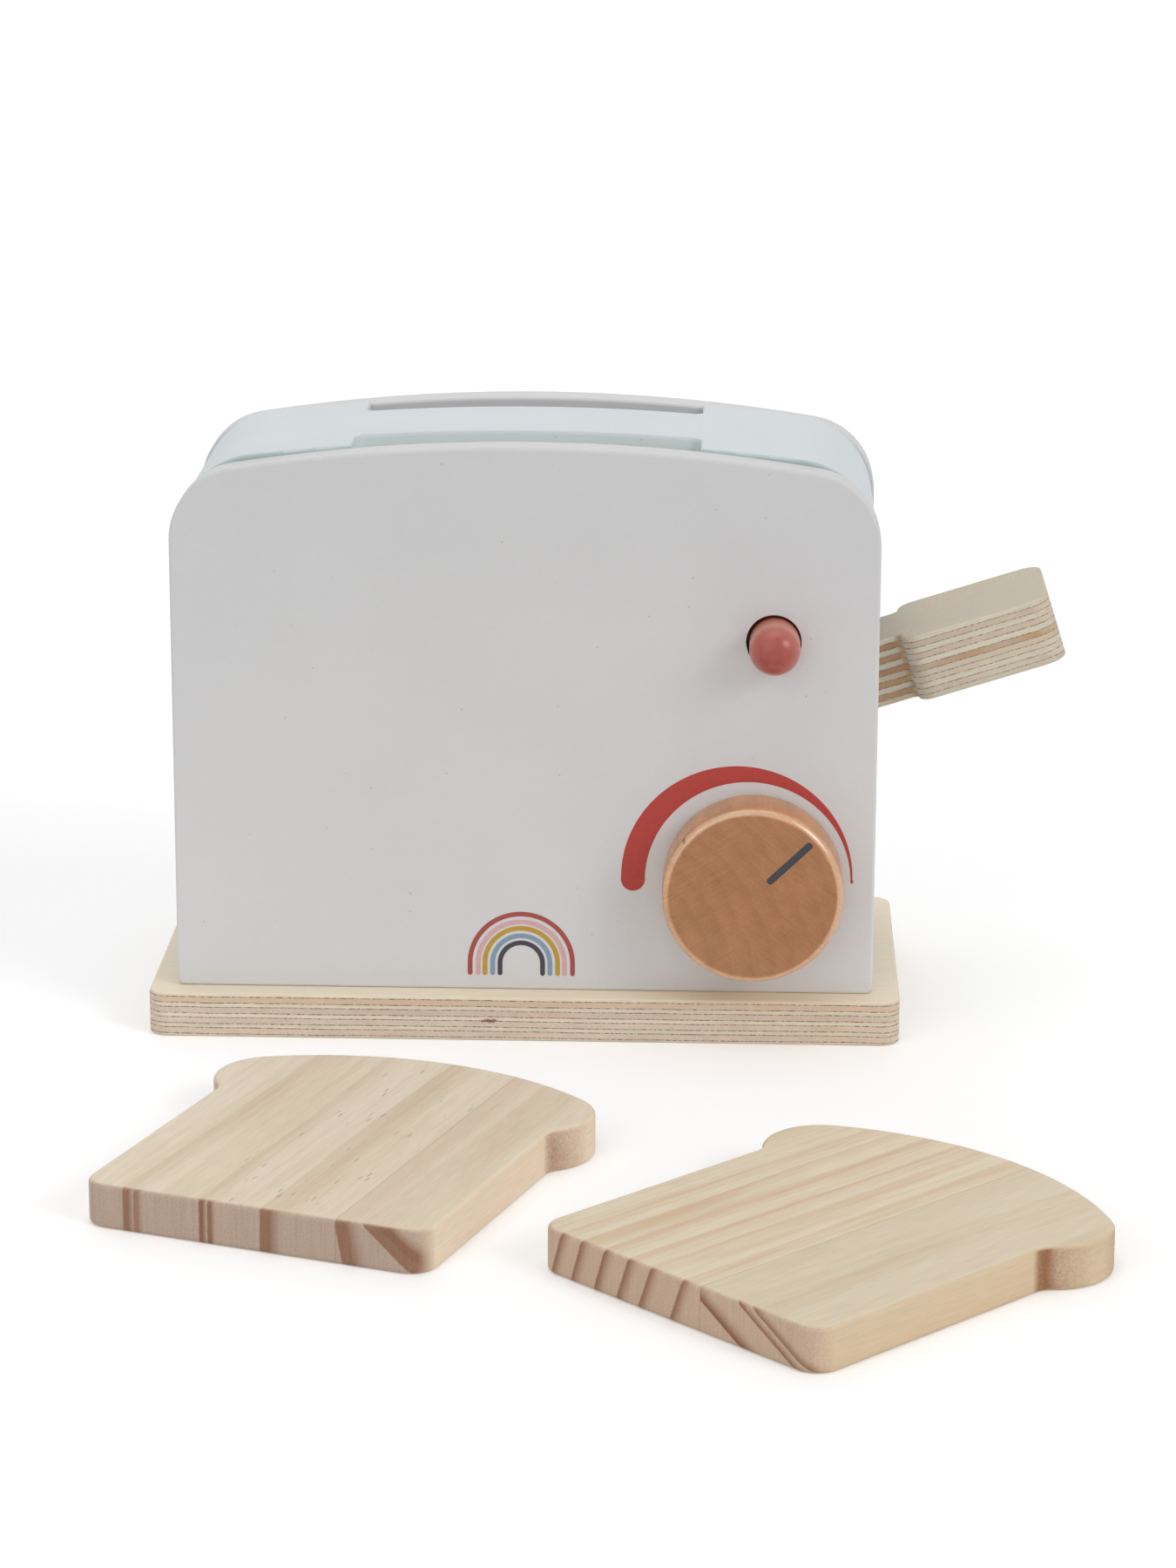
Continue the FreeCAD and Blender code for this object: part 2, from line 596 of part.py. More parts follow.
def new_side_board(label, left, right, middle, dowels):
    """One side board between two places on X, with its dowel and screw holes."""
    board = new_body(label)
    outline = new_sketch(board, "XY_Plane", "base_thickness")
    rectangle(outline, left, right, "-inner_face", "inner_face")
    pad(board, outline, "joint_height - base_thickness")
    core_dowel_holes(board, dowels)
    pilot_holes = new_sketch(board, "XY_Plane", "base_thickness")
    for y in ("-screw_y", "screw_y"):
        circle(pilot_holes, middle, y, "screw_hole")
    pocket(
        board, pilot_holes, "screw_recess + screw_length - base_thickness + end_gap", reverse=True
    )
    seats = new_sketch(board, "XY_Plane", "joint_height")
    for y in ("-shoulder_dowel_y", "shoulder_dowel_y"):
        circle(seats, middle, y, DOWEL_HOLE)
    pocket(board, seats, "shoulder_dowel_length / 2 + end_gap")
    return board


left_side_board = new_side_board(
    "left_side_board", "-side_outer", "-side_inner", "-side_middle", LEFT_DOWELS
)
right_side_board = new_side_board(
    "right_side_board", "side_inner", "side_outer", "side_middle", RIGHT_DOWELS
)
lever_slot = new_sketch(right_side_board, "YZ_Plane", "side_inner")
half_lever_slot = "(neck_width / 2 + slot_side_gap)"
rectangle(
    lever_slot, "-" + half_lever_slot, half_lever_slot, "lever_slot_bottom", "lever_slot_top"
)
pocket(right_side_board, lever_slot, "side_thickness", reverse=True)

# ---------------------------------------------------------------------------------------------
# Lever: one plywood board on a dowel pivot, with a cross dowel that lifts the slices
# ---------------------------------------------------------------------------------------------

LEVER_PLACE = {"x": "pivot_x", "z": "pivot_z", "axis": (0, 1, 0), "turn": "-lever_tilt"}
ARM_END = "-(lift_bar_reach + arm_end_margin)"
GRIP_END = "grip_start + grip_length"

lever = new_body("lever", **LEVER_PLACE)
lever_outline = new_sketch(lever, "XY_Plane", "-lever_thickness / 2")
polygon(
    lever_outline,
    [
        (ARM_END, "-neck_width / 2"),
        ("grip_start", "-neck_width / 2"),
        ("grip_start", "-grip_width / 2"),
        (GRIP_END, "-grip_width / 2"),
        (GRIP_END, "grip_width / 2"),
        ("grip_start", "grip_width / 2"),
        ("grip_start", "neck_width / 2"),
        (ARM_END, "neck_width / 2"),
    ],
)
pad(lever, lever_outline, "lever_thickness")


def lever_corner(x, width):
    """A test for the two upright edges of the lever at a place along it and a width."""
    along = number(x)
    across = number(width) / 2
    return lambda edge: upright_at(edge, along, across) or upright_at(edge, along, -across)


round_edges(lever, "grip_end_corner", lever_corner(GRIP_END, "grip_width"))
round_edges(lever, "grip_shoulder_corner", lever_corner("grip_start", "grip_width"))
round_edges(lever, "neck_corner", lever_corner("grip_start", "neck_width"))
round_edges(lever, "arm_end_corner", lever_corner(ARM_END, "neck_width"))
half_lever = number("lever_thickness / 2")
round_edges(
    lever,
    "lever_edge_round",
    lambda edge: stands_on(edge, 2, half_lever) or stands_on(edge, 2, -half_lever),
)
cross_holes = new_sketch(lever, "XZ_Plane", "neck_width / 2 + face_gap")
circle(cross_holes, "0", "0", "pivot_diameter + 2 * running_gap")
circle(cross_holes, "-lift_bar_reach", "0", "lift_bar_diameter + 2 * glue_gap")
pocket(lever, cross_holes, "neck_width + 2 * face_gap")

lift_bar = new_body("lift_bar", **LEVER_PLACE)
HALF_BAR = "(inner_face - lift_bar_end_gap)"
bar_section = new_sketch(lift_bar, "XZ_Plane", HALF_BAR)
circle(bar_section, "-lift_bar_reach", "0", "lift_bar_diameter")
pad(lift_bar, bar_section, "2 * " + HALF_BAR, reverse=True)

lever_pivot = new_body("lever_pivot", x="pivot_x", z="pivot_z")
pivot_section = new_sketch(lever_pivot, "XZ_Plane", "inner_face + pivot_seat")
circle(pivot_section, "0", "0", "pivot_diameter")
pad(lever_pivot, pivot_section, "2 * (inner_face + pivot_seat)", reverse=True)


def rod(label, x, y, z, axis, length, diameter):
    """A round rod from a place along Y ((0, 1, 0)) or up Z ((0, 0, 1)), its ends square."""
    cylinder = doc.addObject("Part::Cylinder", label)
    tilt = "-90" if axis == (0, 1, 0) else "0"
    place(cylinder, x, y, z, axis=(1, 0, 0), turn=tilt)
    bind(cylinder, Radius="(" + diameter + ") / 2", Height=length)
    return cylinder


def group(label, pieces):
    """Like pieces as one named group of separate solids."""
    whole = doc.addObject("Part::Compound", label)
    whole.Label = label
    whole.Links = pieces
    return whole


def spacer(label, start):
    """A turned tube on the lever's pivot, from a place on Y."""
    length = "inner_face - neck_width / 2 - face_gap"
    outside = rod(label + "_outside", "pivot_x", start, "pivot_z", (0, 1, 0), length, "spacer_diameter")
    bore = rod(
        label + "_bore",
        "pivot_x",
        start,
        "pivot_z",
        (0, 1, 0),
        length,
        "pivot_diameter + 2 * running_gap",
    )
    tube = doc.addObject("Part::Cut", label)
    tube.Base = outside
    tube.Tool = bore
    return tube


lever_spacers = group(
    "lever_spacers",
    [spacer("front_spacer", "-inner_face"), spacer("back_spacer", "neck_width / 2 + face_gap")],
)

# ---------------------------------------------------------------------------------------------
# Timer knob: turned beech on a dowel axle, held by a disc inside the panel
# ---------------------------------------------------------------------------------------------

KNOB_BACK = "front_face + face_gap"
KNOB_FACE = "front_face + knob_stand"
AXLE_FRONT = KNOB_BACK + " + knob_bore_depth - end_gap"

control_knob = new_body(
    "control_knob", x="knob_x", z="knob_z", axis=(0, 1, 0), turn="-pointer_angle"
)
knob_profile = new_sketch(control_knob, "XY_Plane")
rectangle(knob_profile, "0", "knob_diameter / 2", "-(" + KNOB_FACE + ")", "-(" + KNOB_BACK + ")")
revolve(control_knob, knob_profile)
knob_face = -number(KNOB_FACE)
knob_back = -number(KNOB_BACK)
round_edges(control_knob, "knob_front_round", lambda edge: stands_on(edge, 1, knob_face))
round_edges(control_knob, "knob_back_round", lambda edge: stands_on(edge, 1, knob_back))
knob_bore = new_sketch(control_knob, "XZ_Plane", KNOB_BACK)
circle(knob_bore, "0", "0", "axle_diameter + 2 * glue_gap")
pocket(control_knob, knob_bore, "knob_bore_depth", reverse=True)


def pointer_outline(sketch):
    """A straight groove with round ends, along the sketch's horizontal axis."""
    start, length, half = [
        number(size) for size in ("pointer_start", "pointer_length", "pointer_width / 2")
    ]
    end = start + length
    below = line(sketch, (start, -half), (end, -half))
    outer_end = arc(sketch, (end, 0), half, -math.pi / 2, math.pi / 2)
    above = line(sketch, (end, half), (start, half))
    inner_end = arc(sketch, (start, 0), half, math.pi / 2, 3 * math.pi / 2)
    join(sketch, below, outer_end)
    join(sketch, outer_end, above)
    join(sketch, above, inner_end)
    join(sketch, inner_end, below)
    sketch.addConstraint(Sketcher.Constraint("Equal", inner_end, outer_end))
    pin(sketch, inner_end, 3, "pointer_start", "0")
    pin(sketch, outer_end, 3, "pointer_start + pointer_length", "0")
    measure(sketch, "Radius", "pointer_width / 2", inner_end)


pointer_groove = new_sketch(control_knob, "XZ_Plane", KNOB_FACE)
pointer_outline(pointer_groove)
pocket(control_knob, pointer_groove, "pointer_depth")

knob_axle = new_body("knob_axle", x="knob_x", z="knob_z")
axle_section = new_sketch(knob_axle, "XZ_Plane", AXLE_FRONT)
circle(axle_section, "0", "0", "axle_diameter")
pad(knob_axle, axle_section, AXLE_FRONT + " - retainer_back + axle_tail", reverse=True)

knob_retainer = new_body("knob_retainer", x="knob_x", z="knob_z")
disc_section = new_sketch(knob_retainer, "XZ_Plane", "retainer_front")
circle(disc_section, "0", "0", "retainer_diameter")
circle(disc_section, "0", "0", "axle_diameter + 2 * glue_gap")
pad(knob_retainer, disc_section, "retainer_thickness", reverse=True)

# ---------------------------------------------------------------------------------------------
# Push button: a turned peg whose collar runs in a bored block, against a spring
# ---------------------------------------------------------------------------------------------

BUTTON_FACE = "-(front_face + button_stand)"

push_button = new_body("push_button", x="peg_x", z="peg_z")
button_profile = new_sketch(push_button, "XY_Plane")
polygon(
    button_profile,
    [
        ("0", BUTTON_FACE),
        ("button_diameter / 2", BUTTON_FACE),
        ("button_diameter / 2", "-collar_front"),
        ("collar_diameter / 2", "-collar_front"),
        ("collar_diameter / 2", "-collar_back"),
        ("0", "-collar_back"),
    ],
)
revolve(push_button, button_profile)
button_face = number(BUTTON_FACE)
round_edges(push_button, "button_round", lambda edge: stands_on(edge, 1, button_face))

button_housing = new_body("button_housing", x="peg_x", z="peg_z")
housing_outline = new_sketch(button_housing, "XZ_Plane", "inner_face")
half_housing = "housing_width / 2"
rectangle(housing_outline, "-" + half_housing, half_housing, "-" + half_housing, half_housing)
pad(button_housing, housing_outline, "housing_depth", reverse=True)
housing_bore = new_sketch(button_housing, "XZ_Plane", "inner_face")
circle(housing_bore, "0", "0", "collar_diameter + 2 * running_gap")
pocket(button_housing, housing_bore, "housing_depth - housing_back")

SPRING_HEIGHT = "collar_back - bore_bottom - spring_wire - 2 * glue_gap"

button_spring = new_body(
    "button_spring",
    "peg_x",
    "-collar_back + spring_wire / 2 + glue_gap",
    "peg_z",
    axis=(1, 0, 0),
    turn="-90",
)
wire_section = new_sketch(button_spring, "XZ_Plane")
circle(wire_section, "(spring_diameter - spring_wire) / 2", "0", "spring_wire")
doc.recompute()
coil = button_spring.newObject("PartDesign::AdditiveHelix", "spring_coil")
coil.Profile = wire_section
coil.ReferenceAxis = (wire_section, ["V_Axis"])
coil.Mode = "pitch-height-angle"
bind(coil, Height=SPRING_HEIGHT, Pitch="(" + SPRING_HEIGHT + ") / spring_turns")

# ---------------------------------------------------------------------------------------------
# Fixings: countersunk screws up through the base, and glued dowels
# ---------------------------------------------------------------------------------------------


def wood_screw(label, x, y):
    """A countersunk screw standing on its head, with a cross for the driver."""
    screw = new_body(label, x=x, y=y, z="screw_recess")
    profile = new_sketch(screw, "XZ_Plane")
    polygon(
        profile,
        [
            ("0", "0"),
            ("screw_head / 2", "0"),
            ("screw_shank / 2", "head_depth"),
            ("screw_shank / 2", "screw_length - screw_point"),
            ("0", "screw_length"),
        ],
    )
    revolve(screw, profile)
    for width, span in (("driver_slot", "driver_span"), ("driver_span", "driver_slot")):
        cross = new_sketch(screw, "XY_Plane")
        rectangle(
            cross,
            "-" + width + " / 2",
            width + " / 2",
            "-" + span + " / 2",
            span + " / 2",
        )
        pocket(screw, cross, "driver_depth", reverse=True)
    return screw


base_screws = group(
    "base_screws",
    [wood_screw("base_screw_%d" % order, x, y) for order, (x, y) in enumerate(SCREW_PLACES, 1)],
)


def panel_dowels(label, start):
    """The glued dowels of one panel, each from the same place on Y."""
    return group(
        label,
        [
            rod("%s_%d" % (label, order), x, start, z, (0, 1, 0), "dowel_length", "dowel_diameter")
            for order, (x, z) in enumerate(PANEL_DOWELS, 1)
        ],
    )


front_panel_dowels = panel_dowels("front_panel_dowels", "-(inner_face + dowel_in_panel)")
back_panel_dowels = panel_dowels(
    "back_panel_dowels", "inner_face + dowel_in_panel - dowel_length"
)
shoulder_dowels = group(
    "shoulder_dowels",
    [
        rod(
            "shoulder_dowel_%d" % order,
            x,
            y,
            "joint_height - shoulder_dowel_length / 2",
            (0, 0, 1),
            "shoulder_dowel_length",
            "dowel_diameter",
        )
        for order, (x, y) in enumerate(SHOULDER_DOWELS, 1)
    ],
)

# ---------------------------------------------------------------------------------------------
# Two slices of toast: boards glued up from strips of pine, lying on the table
# ---------------------------------------------------------------------------------------------


def slice_outline(sketch):
    """A loaf's outline: straight sides, two lobes and an arched crown tangent to them."""
    half, radius, lobe_x, lobe_y, crown_radius, top = [
        number(size)
        for size in (
            "slice_width / 2",
            "lobe_radius",
            "lobe_x",
            "lobe_height",
            "slice_crown_radius",
            "slice_height",
        )
    ]
    start = -math.acos((half - lobe_x) / radius)
    side_top = lobe_y + radius * math.sin(start)
    slope = math.atan2(lobe_y - (top - crown_radius), lobe_x)
    bottom = line(sketch, (-half, 0), (half, 0))
    right = line(sketch, (half, 0), (half, side_top))
    right_lobe = arc(sketch, (lobe_x, lobe_y), radius, start, slope)
    crown = arc(sketch, (0, top - crown_radius), crown_radius, slope, math.pi - slope)
    left_lobe = arc(sketch, (-lobe_x, lobe_y), radius, math.pi - slope, math.pi - start)
    left = line(sketch, (-half, side_top), (-half, 0))
    join(sketch, bottom, right, "Coincident")
    join(sketch, right, right_lobe, "Coincident")
    join(sketch, right_lobe, crown)
    join(sketch, crown, left_lobe)
    join(sketch, left_lobe, left, "Coincident")
    join(sketch, left, bottom, "Coincident")
    mirrored(sketch, bottom, 1, bottom, 2)
    mirrored(sketch, right_lobe, 3, left_lobe, 3)
    sketch.addConstraint(Sketcher.Constraint("PointOnObject", bottom, 1, -1))
    sketch.addConstraint(Sketcher.Constraint("Vertical", right))
    sketch.addConstraint(Sketcher.Constraint("Vertical", left))
    sketch.addConstraint(Sketcher.Constraint("Equal", right_lobe, left_lobe))
    pin(sketch, right_lobe, 3, "lobe_x", "lobe_height")
    measure(sketch, "Radius", "lobe_radius", right_lobe)
    measure(sketch, "Radius", "slice_crown_radius", crown)
    measure(sketch, "DistanceX", "slice_width", bottom, 1, bottom, 2)


def toast_slice(label, x, y, turn):
    """One slice on the table: its bottom edge's middle at a place, its crown away from there."""
    toast = new_body(label, x=x, y=y, turn=turn)
    outline = new_sketch(toast, "XY_Plane")
    slice_outline(outline)
    pad(toast, outline, "slice_thickness")
    half = number("slice_width / 2")
    round_edges(
        toast,
        "slice_bottom_corner",
        lambda edge: upright_at(edge, half, 0) or upright_at(edge, -half, 0),
    )
    lobe_start = number("lobe_height - sqrt(lobe_radius^2 - (slice_width / 2 - lobe_x)^2)")
    round_edges(
        toast,
        "slice_neck_corner",
        lambda edge: upright_at(edge, half, lobe_start) or upright_at(edge, -half, lobe_start),
    )
    top = number("slice_thickness")
    round_edges(
        toast,
        "slice_edge_round",
        lambda edge: stands_on(edge, 2, 0) or stands_on(edge, 2, top),
    )
    return toast


left_toast_slice = toast_slice("left_toast_slice", "left_slice_x", "left_slice_y", "left_slice_turn")
right_toast_slice = toast_slice(
    "right_toast_slice", "right_slice_x", "right_slice_y", "right_slice_turn"
)

# ---------------------------------------------------------------------------------------------
# Check the document, then write one STEP file for each sub-part
# ---------------------------------------------------------------------------------------------

SUB_PARTS = [
    base_plate,
    front_panel,
    back_panel,
    top_block,
    left_side_board,
    right_side_board,
    lever,
    lift_bar,
    lever_pivot,
    lever_spacers,
    control_knob,
    knob_axle,
    knob_retainer,
    push_button,
    button_housing,
    button_spring,
    base_screws,
    front_panel_dowels,
    back_panel_dowels,
    shoulder_dowels,
    left_toast_slice,
    right_toast_slice,
]

doc.recompute()
for thing in doc.Objects:
    if "Invalid" in thing.State or "Error" in thing.State:
        raise RuntimeError("%s did not compute: %s" % (thing.Name, thing.State))
    if thing.isDerivedFrom("Sketcher::SketchObject") and not thing.FullyConstrained:
        raise RuntimeError("%s is not fully constrained" % thing.Name)
for sub_part in SUB_PARTS:
    if sub_part.Shape.isNull() or not sub_part.Shape.isValid():
        raise RuntimeError("%s has no valid shape" % sub_part.Label)

os.makedirs("parts", exist_ok=True)
for sub_part in SUB_PARTS:
    sub_part.Shape.exportStep("parts/%s.step" % sub_part.Label)
print("wrote %d sub-parts" % len(SUB_PARTS))
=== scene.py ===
import math

import bpy
import numpy as np
from mathutils import Matrix, Vector


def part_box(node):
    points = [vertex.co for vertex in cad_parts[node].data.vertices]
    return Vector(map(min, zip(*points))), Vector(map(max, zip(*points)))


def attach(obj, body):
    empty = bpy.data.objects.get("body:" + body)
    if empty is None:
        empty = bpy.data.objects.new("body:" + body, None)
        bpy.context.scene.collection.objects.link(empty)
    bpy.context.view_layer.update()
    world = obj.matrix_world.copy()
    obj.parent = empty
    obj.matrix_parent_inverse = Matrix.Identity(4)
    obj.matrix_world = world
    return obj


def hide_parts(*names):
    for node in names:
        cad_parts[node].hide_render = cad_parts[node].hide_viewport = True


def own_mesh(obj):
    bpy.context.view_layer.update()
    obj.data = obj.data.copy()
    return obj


# A toy toaster of plywood and painted wood, with two wooden slices of toast lying in front of it.
# Metres, in the same frame as the CAD: X to the right, Y to the back, Z up, the origin in the middle of
# the base plate's underside. Sizes are written in millimetres and turned to metres by MM.
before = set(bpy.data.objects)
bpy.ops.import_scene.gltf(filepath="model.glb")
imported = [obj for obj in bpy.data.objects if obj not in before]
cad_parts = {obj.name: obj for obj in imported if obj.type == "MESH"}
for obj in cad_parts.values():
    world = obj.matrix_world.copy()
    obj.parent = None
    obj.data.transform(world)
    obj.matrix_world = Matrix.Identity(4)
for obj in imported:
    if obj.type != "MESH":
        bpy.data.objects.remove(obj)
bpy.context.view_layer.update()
MM = 0.001

# ------------------------------------------------------------------------------------------------
# Camera: a long lens, more than a metre in front of the toaster, that looks down on it from a little
# to the right.
# ------------------------------------------------------------------------------------------------

PICTURE_HEIGHT = 1800
FOCAL_LENGTH_IN_PIXELS = 5093.6
FILM_HEIGHT = 36.0
CAMERA_PLACE = (54.9, -1167.5, 379.7)
CAMERA_TURN_LEFT = 1.935
CAMERA_LOOKS_DOWN = 15.411
CAMERA_ROLL = 0.213

camera = bpy.data.objects.new("camera", bpy.data.cameras.new("camera"))
bpy.context.scene.collection.objects.link(camera)
camera.data.sensor_fit = "VERTICAL"
camera.data.sensor_height = FILM_HEIGHT
camera.data.lens = FOCAL_LENGTH_IN_PIXELS / PICTURE_HEIGHT * FILM_HEIGHT
camera.matrix_world = (
    Matrix.Translation(Vector(CAMERA_PLACE) * MM)
    @ Matrix.Rotation(math.radians(CAMERA_TURN_LEFT), 4, "Z")
    @ Matrix.Rotation(math.radians(90 - CAMERA_LOOKS_DOWN), 4, "X")
    @ Matrix.Rotation(math.radians(CAMERA_ROLL), 4, "Z")
)
bpy.context.scene.camera = camera
bpy.context.scene.view_settings.view_transform = "Standard"

# ------------------------------------------------------------------------------------------------
# Studio: a white table in a white room, with four large soft lamps, on the right, on the left,
# overhead and behind. The right one and the left one each have a brighter spot.
# ------------------------------------------------------------------------------------------------


def add(tree, kind, *values, output=None, named=(), **settings):
    """Add one node: its settings, then a value or a link for each open input in order, or by name.

    It returns the named output, or the node's first open one.
    """
    made = tree.nodes.new("ShaderNode" + kind)
    for setting, value in settings.items():
        setattr(made, setting, value)
    pairs = list(zip([socket for socket in made.inputs if socket.enabled], values))
    pairs += [(made.inputs[name], value) for name, value in dict(named).items()]
    for socket, value in pairs:
        if isinstance(value, bpy.types.NodeSocket):
            tree.links.new(value, socket)
        elif value is not None:
            socket.default_value = value
    return made.outputs[output] if output else next(socket for socket in made.outputs if socket.enabled)


def colour(text):
    """A colour written as sRGB hex, such as "d8c7ad", as linear light with full opacity."""
    parts = [int(text[place:place + 2], 16) / 255 for place in (0, 2, 4)]
    return [part / 12.92 if part <= 0.04045 else ((part + 0.055) / 1.055) ** 2.4 for part in parts] + [1.0]


def new_material(name, roughness, specular=0.5):
    """A material with a plain surface shader: the material, its node tree and the shader."""
    material = bpy.data.materials.new(name)
    material.use_nodes = True
    surface = material.node_tree.nodes["Principled BSDF"]
    surface.inputs["Roughness"].default_value = roughness
    surface.inputs["Specular IOR Level"].default_value = specular
    return material, material.node_tree, surface


def seen_directly(tree):
    """1 for a ray that shows the surface itself: from the camera, off gloss or through glass."""
    camera_ray = add(tree, "LightPath", output="Is Camera Ray")
    gloss_ray = add(tree, "LightPath", output="Is Glossy Ray")
    glass_ray = add(tree, "LightPath", output="Is Transmission Ray")
    seen = add(tree, "Math", camera_ray, gloss_ray, operation="MAXIMUM")
    return add(tree, "Math", seen, glass_ray, operation="MAXIMUM")


ROOM_LIGHT = 0.45
TABLE_HALF_WIDTH = 6000
TABLE_LIFT = 0.195

world = bpy.data.worlds.new("white_room")
bpy.context.scene.world = world
world.use_nodes = True
room = world.node_tree
room.nodes.remove(room.nodes["Background"])
lit_by = add(room, "Background", (1, 1, 1, 1), ROOM_LIGHT)
seen_as = add(room, "Background", (1, 1, 1, 1), 1.0)
room.links.new(
    add(room, "MixShader", seen_directly(room), lit_by, seen_as),
    room.nodes["World Output"].inputs["Surface"],
)

half_width = TABLE_HALF_WIDTH * MM
corner_signs = ((-1, -1), (1, -1), (1, 1), (-1, 1))
table_corners = [(half_width * x, half_width * y, 0) for x, y in corner_signs]
table_mesh = bpy.data.meshes.new("table")
table_mesh.from_pydata(table_corners, [], [(0, 1, 2, 3)])
table = bpy.data.objects.new("table", table_mesh)
bpy.context.scene.collection.objects.link(table)
# White lacquered table top: plain white, its lift to full white is only for the eye
table_white, table_tree, table_surface = new_material("white_lacquered_table", 0.7, 0.2)
table_surface.inputs["Base Color"].default_value = colour("f7f7f7")
table_surface.inputs["Emission Color"].default_value = (1, 1, 1, 1)
table_tree.links.new(
    add(table_tree, "Math", seen_directly(table_tree), TABLE_LIFT, operation="MULTIPLY"),
    table_surface.inputs["Emission Strength"],
)
table_mesh.materials.append(table_white)

# Each lamp has the direction in which it stands, its spread in degrees and its power
for lamp_name, towards, spread, power in (
    ("right_lamp", (0.72, -0.49, 0.49), 32, 0.72),
    ("right_lamp_middle", (0.72, -0.49, 0.49), 8, 0.16),
    ("left_lamp", (-0.42, -0.77, 0.48), 60, 0.48),
    ("left_lamp_middle", (-0.64, -0.58, 0.50), 8, 0.04),
    ("top_lamp", (-0.08, 0.0, 1.0), 50, 0.54),
    ("back_lamp", (-0.15, 0.84, 0.52), 50, 0.36),
):
    lamp = bpy.data.objects.new(lamp_name, bpy.data.lights.new(lamp_name, "SUN"))
    bpy.context.scene.collection.objects.link(lamp)
    lamp.data.angle = math.radians(spread)
    lamp.data.energy = power
    lamp.rotation_euler = Vector(towards).to_track_quat("Z", "Y").to_euler()

# ------------------------------------------------------------------------------------------------
# Base plate: 12 mm birch plywood of nine plies, sawn and sanded, its corners and top edge eased,
# finished with one thin coat of matt varnish. It is screwed on from below.
# ------------------------------------------------------------------------------------------------


def dress(material, *names):
    """Give a material to pieces of the CAD by their names."""
    for name in names:
        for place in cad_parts[name].material_slots:
            place.material = material


def on_own_axes(tree, place=(0, 0, 0), turn=(0, 0, 0)):
    """Where a point lies on a piece's own axes, in millimetres, and the surface's normal on them."""
    angles = [math.radians(angle) for angle in turn]
    placed = {"Location": [part * MM for part in place], "Rotation": angles, "Scale": (MM, MM, MM)}
    from_object = add(tree, "TexCoord", output="Object")
    normal = add(tree, "TexCoord", output="Normal")
    return (
        add(tree, "Mapping", from_object, vector_type="TEXTURE", named=placed),
        add(tree, "Mapping", normal, vector_type="TEXTURE", named={"Rotation": angles}),
    )


